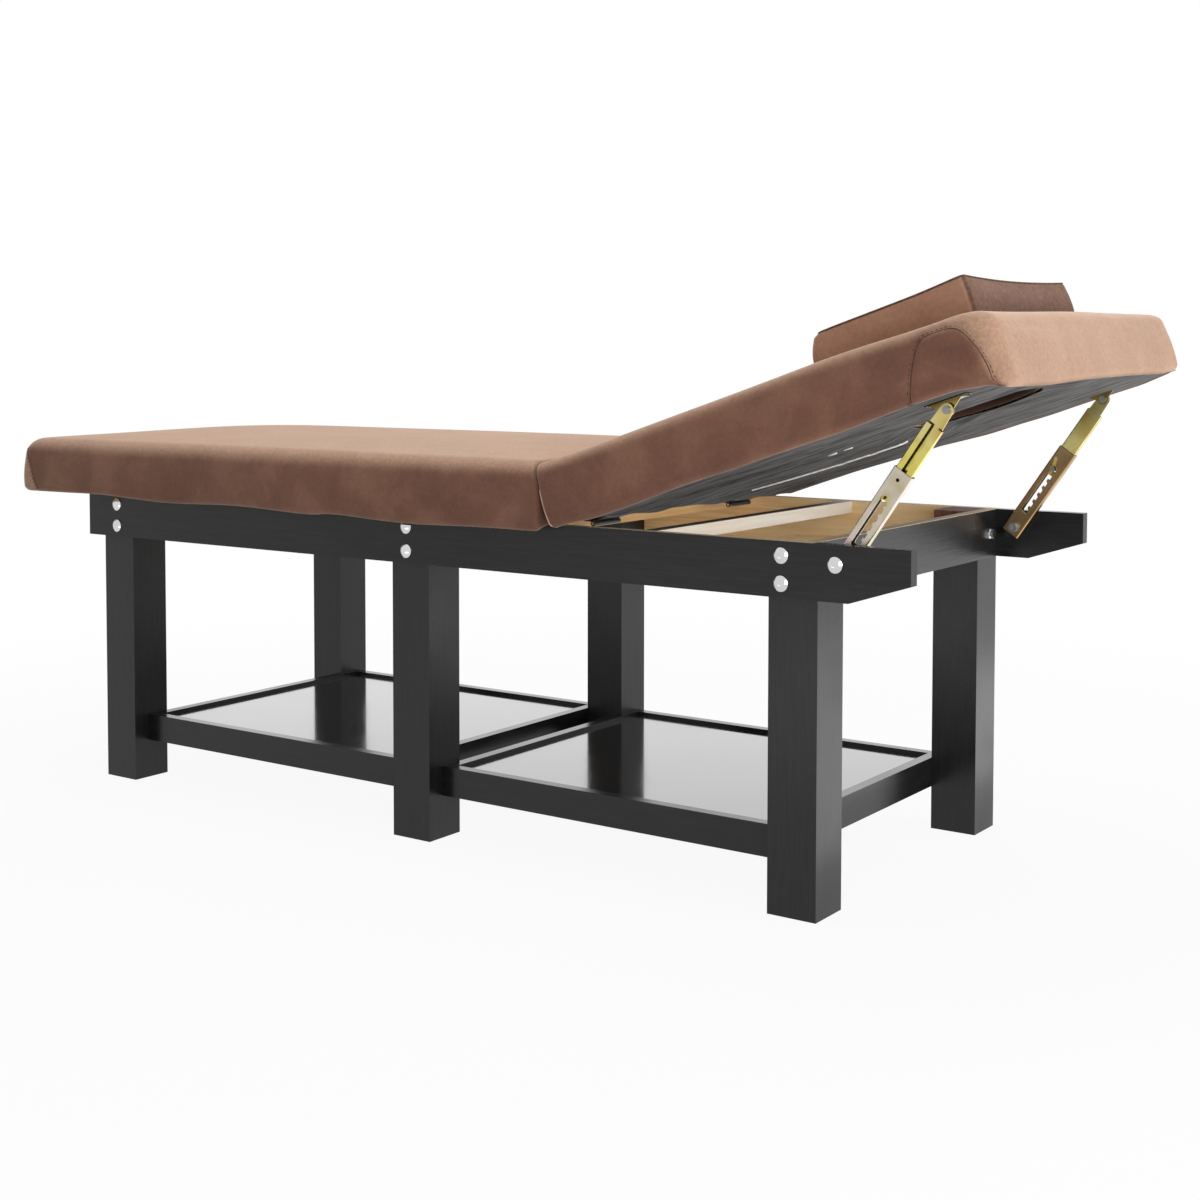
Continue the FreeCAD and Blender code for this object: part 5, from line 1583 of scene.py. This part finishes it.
@dataclass
class Studio:
    """White sweep, soft lamps and the camera at the photograph's viewpoint."""

    origin: Vector              # foot of the near foot leg's outer corner
    lens: float = 53.35
    shift: tuple[float, float] = (0.0335, -0.1394)
    eye: tuple[float, float, float] = (2.5564, -2.1226, 0.7767)
    right: tuple[float, float, float] = (0.80992, 0.58650, 0.0)
    ahead: tuple[float, float, float] = (-0.58600, 0.80900, -0.04710)
    floor_glow: float = 0.93    # the floor's own white near the bed, the rest takes the shadow
    floor_reach: float = 9e3    # half the floor's width, in millimetres
    floor_depth: float = 0.5    # the floor lies this far below the legs
    world_light: float = 0.34

    def camera(self) -> None:
        """Camera with the photograph's lens and shift, for a square frame."""
        data = bpy.data.cameras.new("camera")
        data.sensor_fit = "HORIZONTAL"
        data.sensor_width = 36.0
        data.lens = self.lens
        data.shift_x, data.shift_y = self.shift
        data.clip_end = 60.0
        right, ahead = Vector(self.right).normalized(), Vector(self.ahead).normalized()
        up = right.cross(ahead)
        turn = Matrix((right, up, -ahead)).transposed().to_4x4()
        eye = bpy.data.objects.new("camera", data)
        eye.matrix_world = Matrix.Translation(self.origin + Vector(self.eye)) @ turn
        bpy.context.scene.collection.objects.link(eye)
        bpy.context.scene.camera = eye

    def lamp(self, name: str, place: tuple[float, float, float], size: tuple[float, float], power: float,
             aim: tuple[float, float, float] = (0.0, 0.0, 0.45)) -> None:
        """Soft box that looks at a point, by default the middle of the bed.

        Args:
            name: The lamp's name.
            place: Its middle, in metres.
            size: Width and height, in metres.
            power: Power in watts.
            aim: The point.
        """
        data = bpy.data.lights.new(name, "AREA")
        data.shape = "RECTANGLE"
        data.size, data.size_y = size
        data.energy = power
        box = bpy.data.objects.new(name, data)
        box.visible_camera = False
        turn = (Vector(aim) - Vector(place)).to_track_quat("-Z", "Y")
        box.matrix_world = Matrix.Translation(Vector(place)) @ turn.to_matrix().to_4x4()
        bpy.context.scene.collection.objects.link(box)

    def world(self) -> None:
        """White to the camera and in reflections, an even soft grey as light."""
        world = bpy.data.worlds.new("white room")
        world.use_nodes = True
        bpy.context.scene.world = world
        tree = world.node_tree
        tree.nodes.clear()
        seen = any_ray(tree, "Is Camera Ray", "Is Glossy Ray", "Is Transmission Ray")
        light, white = (
            add_node(tree, "Background", {"Color": linear("#FFFFFF"), "Strength": strength}).outputs[0]
            for strength in (self.world_light, 1.0))
        both = add_node(tree, "MixShader", links={0: seen, 1: light, 2: white}).outputs[0]
        add_node(tree, "OutputWorld", links={"Surface": both})

    def floor(self) -> None:
        """Pale floor that reads as white and keeps a soft shadow."""
        material = bpy.data.materials.new("pale floor")
        material.use_nodes = True
        tree = material.node_tree
        tree.nodes.clear()
        seen = any_ray(tree, "Is Camera Ray", "Is Glossy Ray")
        place = add_node(tree, "TexCoord").outputs["Object"]
        far = add_node(tree, "VectorMath", {"operation": "LENGTH"}, {0: place}).outputs["Value"]
        glow = spread(tree, far, 0.9, 2.6, self.floor_glow, 1.0)
        share = add_node(tree, "Math", {"operation": "MULTIPLY"}, {0: seen, 1: glow}).outputs[0]
        matt = add_node(tree, "BsdfDiffuse", {"Color": linear("#C8C8C8")}).outputs[0]
        white = add_node(tree, "Emission", {"Color": linear("#FFFFFF"), "Strength": 1.0}).outputs[0]
        both = add_node(tree, "MixShader", links={0: share, 1: matt, 2: white}).outputs[0]
        add_node(tree, "OutputMaterial", links={"Surface": both})
        reach = self.floor_reach
        corners = np.array([[x * reach, y * reach, -self.floor_depth]
                            for x, y in ((-1, -1), (1, -1), (1, 1), (-1, 1))])
        make_piece("floor", corners, np.array([[0, 1, 2, 3]]), material)

    def build(self) -> None:
        """Sets up camera, world, floor and lamps."""
        self.camera()
        self.world()
        self.floor()
        self.lamp("rear wall", (-0.9, 3.4, 1.3), (6.4, 2.4), 27.0)
        self.lamp("high right box", (3.4, 1.2, 2.4), (1.8, 1.8), 26.0)
        self.lamp("low right box", (3.2, -0.4, 0.5), (1.7, 0.9), 40.0)
        self.lamp("floor bounce", (1.9, 0.6, 0.01), (2.2, 2.2), 16.0, aim=(1.9, 0.6, 1.0))
        self.lamp("top box", (-0.2, 0.3, 3.4), (3.2, 3.2), 100.0)
        self.lamp("front floor bounce", (-0.2, -1.65, 0.01), (0.9, 0.9), 3.2, aim=(-0.2, -1.65, 1.0))
        self.lamp("fill", (2.9, -2.9, 1.3), (2.0, 2.0), 55.0)
        bpy.context.scene.view_settings.view_transform = "Standard"


def main() -> None:
    """Builds the bed around the CAD frame."""
    logging.basicConfig(level=logging.INFO, format="%(name)s: %(message)s")
    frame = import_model()
    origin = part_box("leg_foot_near")[0]
    datum = Datum(foot=origin.x / MM)
    Studio(Vector(origin)).build()
    nodes = frame["nodes"]
    WoodFrame(nodes).dress()
    Fittings(nodes).dress()
    # In each suede the fourth and fifth colours are painted light and shade: lighter on the pads' top and
    # head panels, darker on the pillow's top and head end.
    suede = Suede("brushed brown suede", "#624338", "#7B5746", "#AA8972", "#927460", "#F0DCCB").material()
    dark_suede = Suede("brushed dark brown suede", "#936C56", "#AB846E", "#6E5145", "#4A352C", "#D8BCAA",
                       patch_mm=60.0, nap_mm=7.0, mottle=0.5).material()
    welt = Thread("dark brown welt", "#4A342B", "#5E463B").material()
    thread = Thread("dark brown sewing thread", "#3C2620", "#54392F").material()
    piping = Thread("pale brown piping", "#B08C76", "#C4A28C").material()
    selvedge = Thread("pale woven selvedge", "#E0DEDB", "#F0EEEC").material()
    cloth = DustCloth("grey dust cloth", "#262525", "#5C5A59").material()
    seat = SeatPad(datum).build(suede, thread)
    back = BackrestPad(datum).build(suede, thread, piping)
    pillow = Pillow(datum).build(dark_suede, welt)
    lining = DustLining(datum).build(cloth, selvedge, back[0].name)
    for piece in [*seat, *back, *pillow, *lining]:
        LOG.info("%s: %d faces", piece.name, len(piece.data.polygons))
    bpy.context.view_layer.update()


if __name__ == "__main__":
    main()
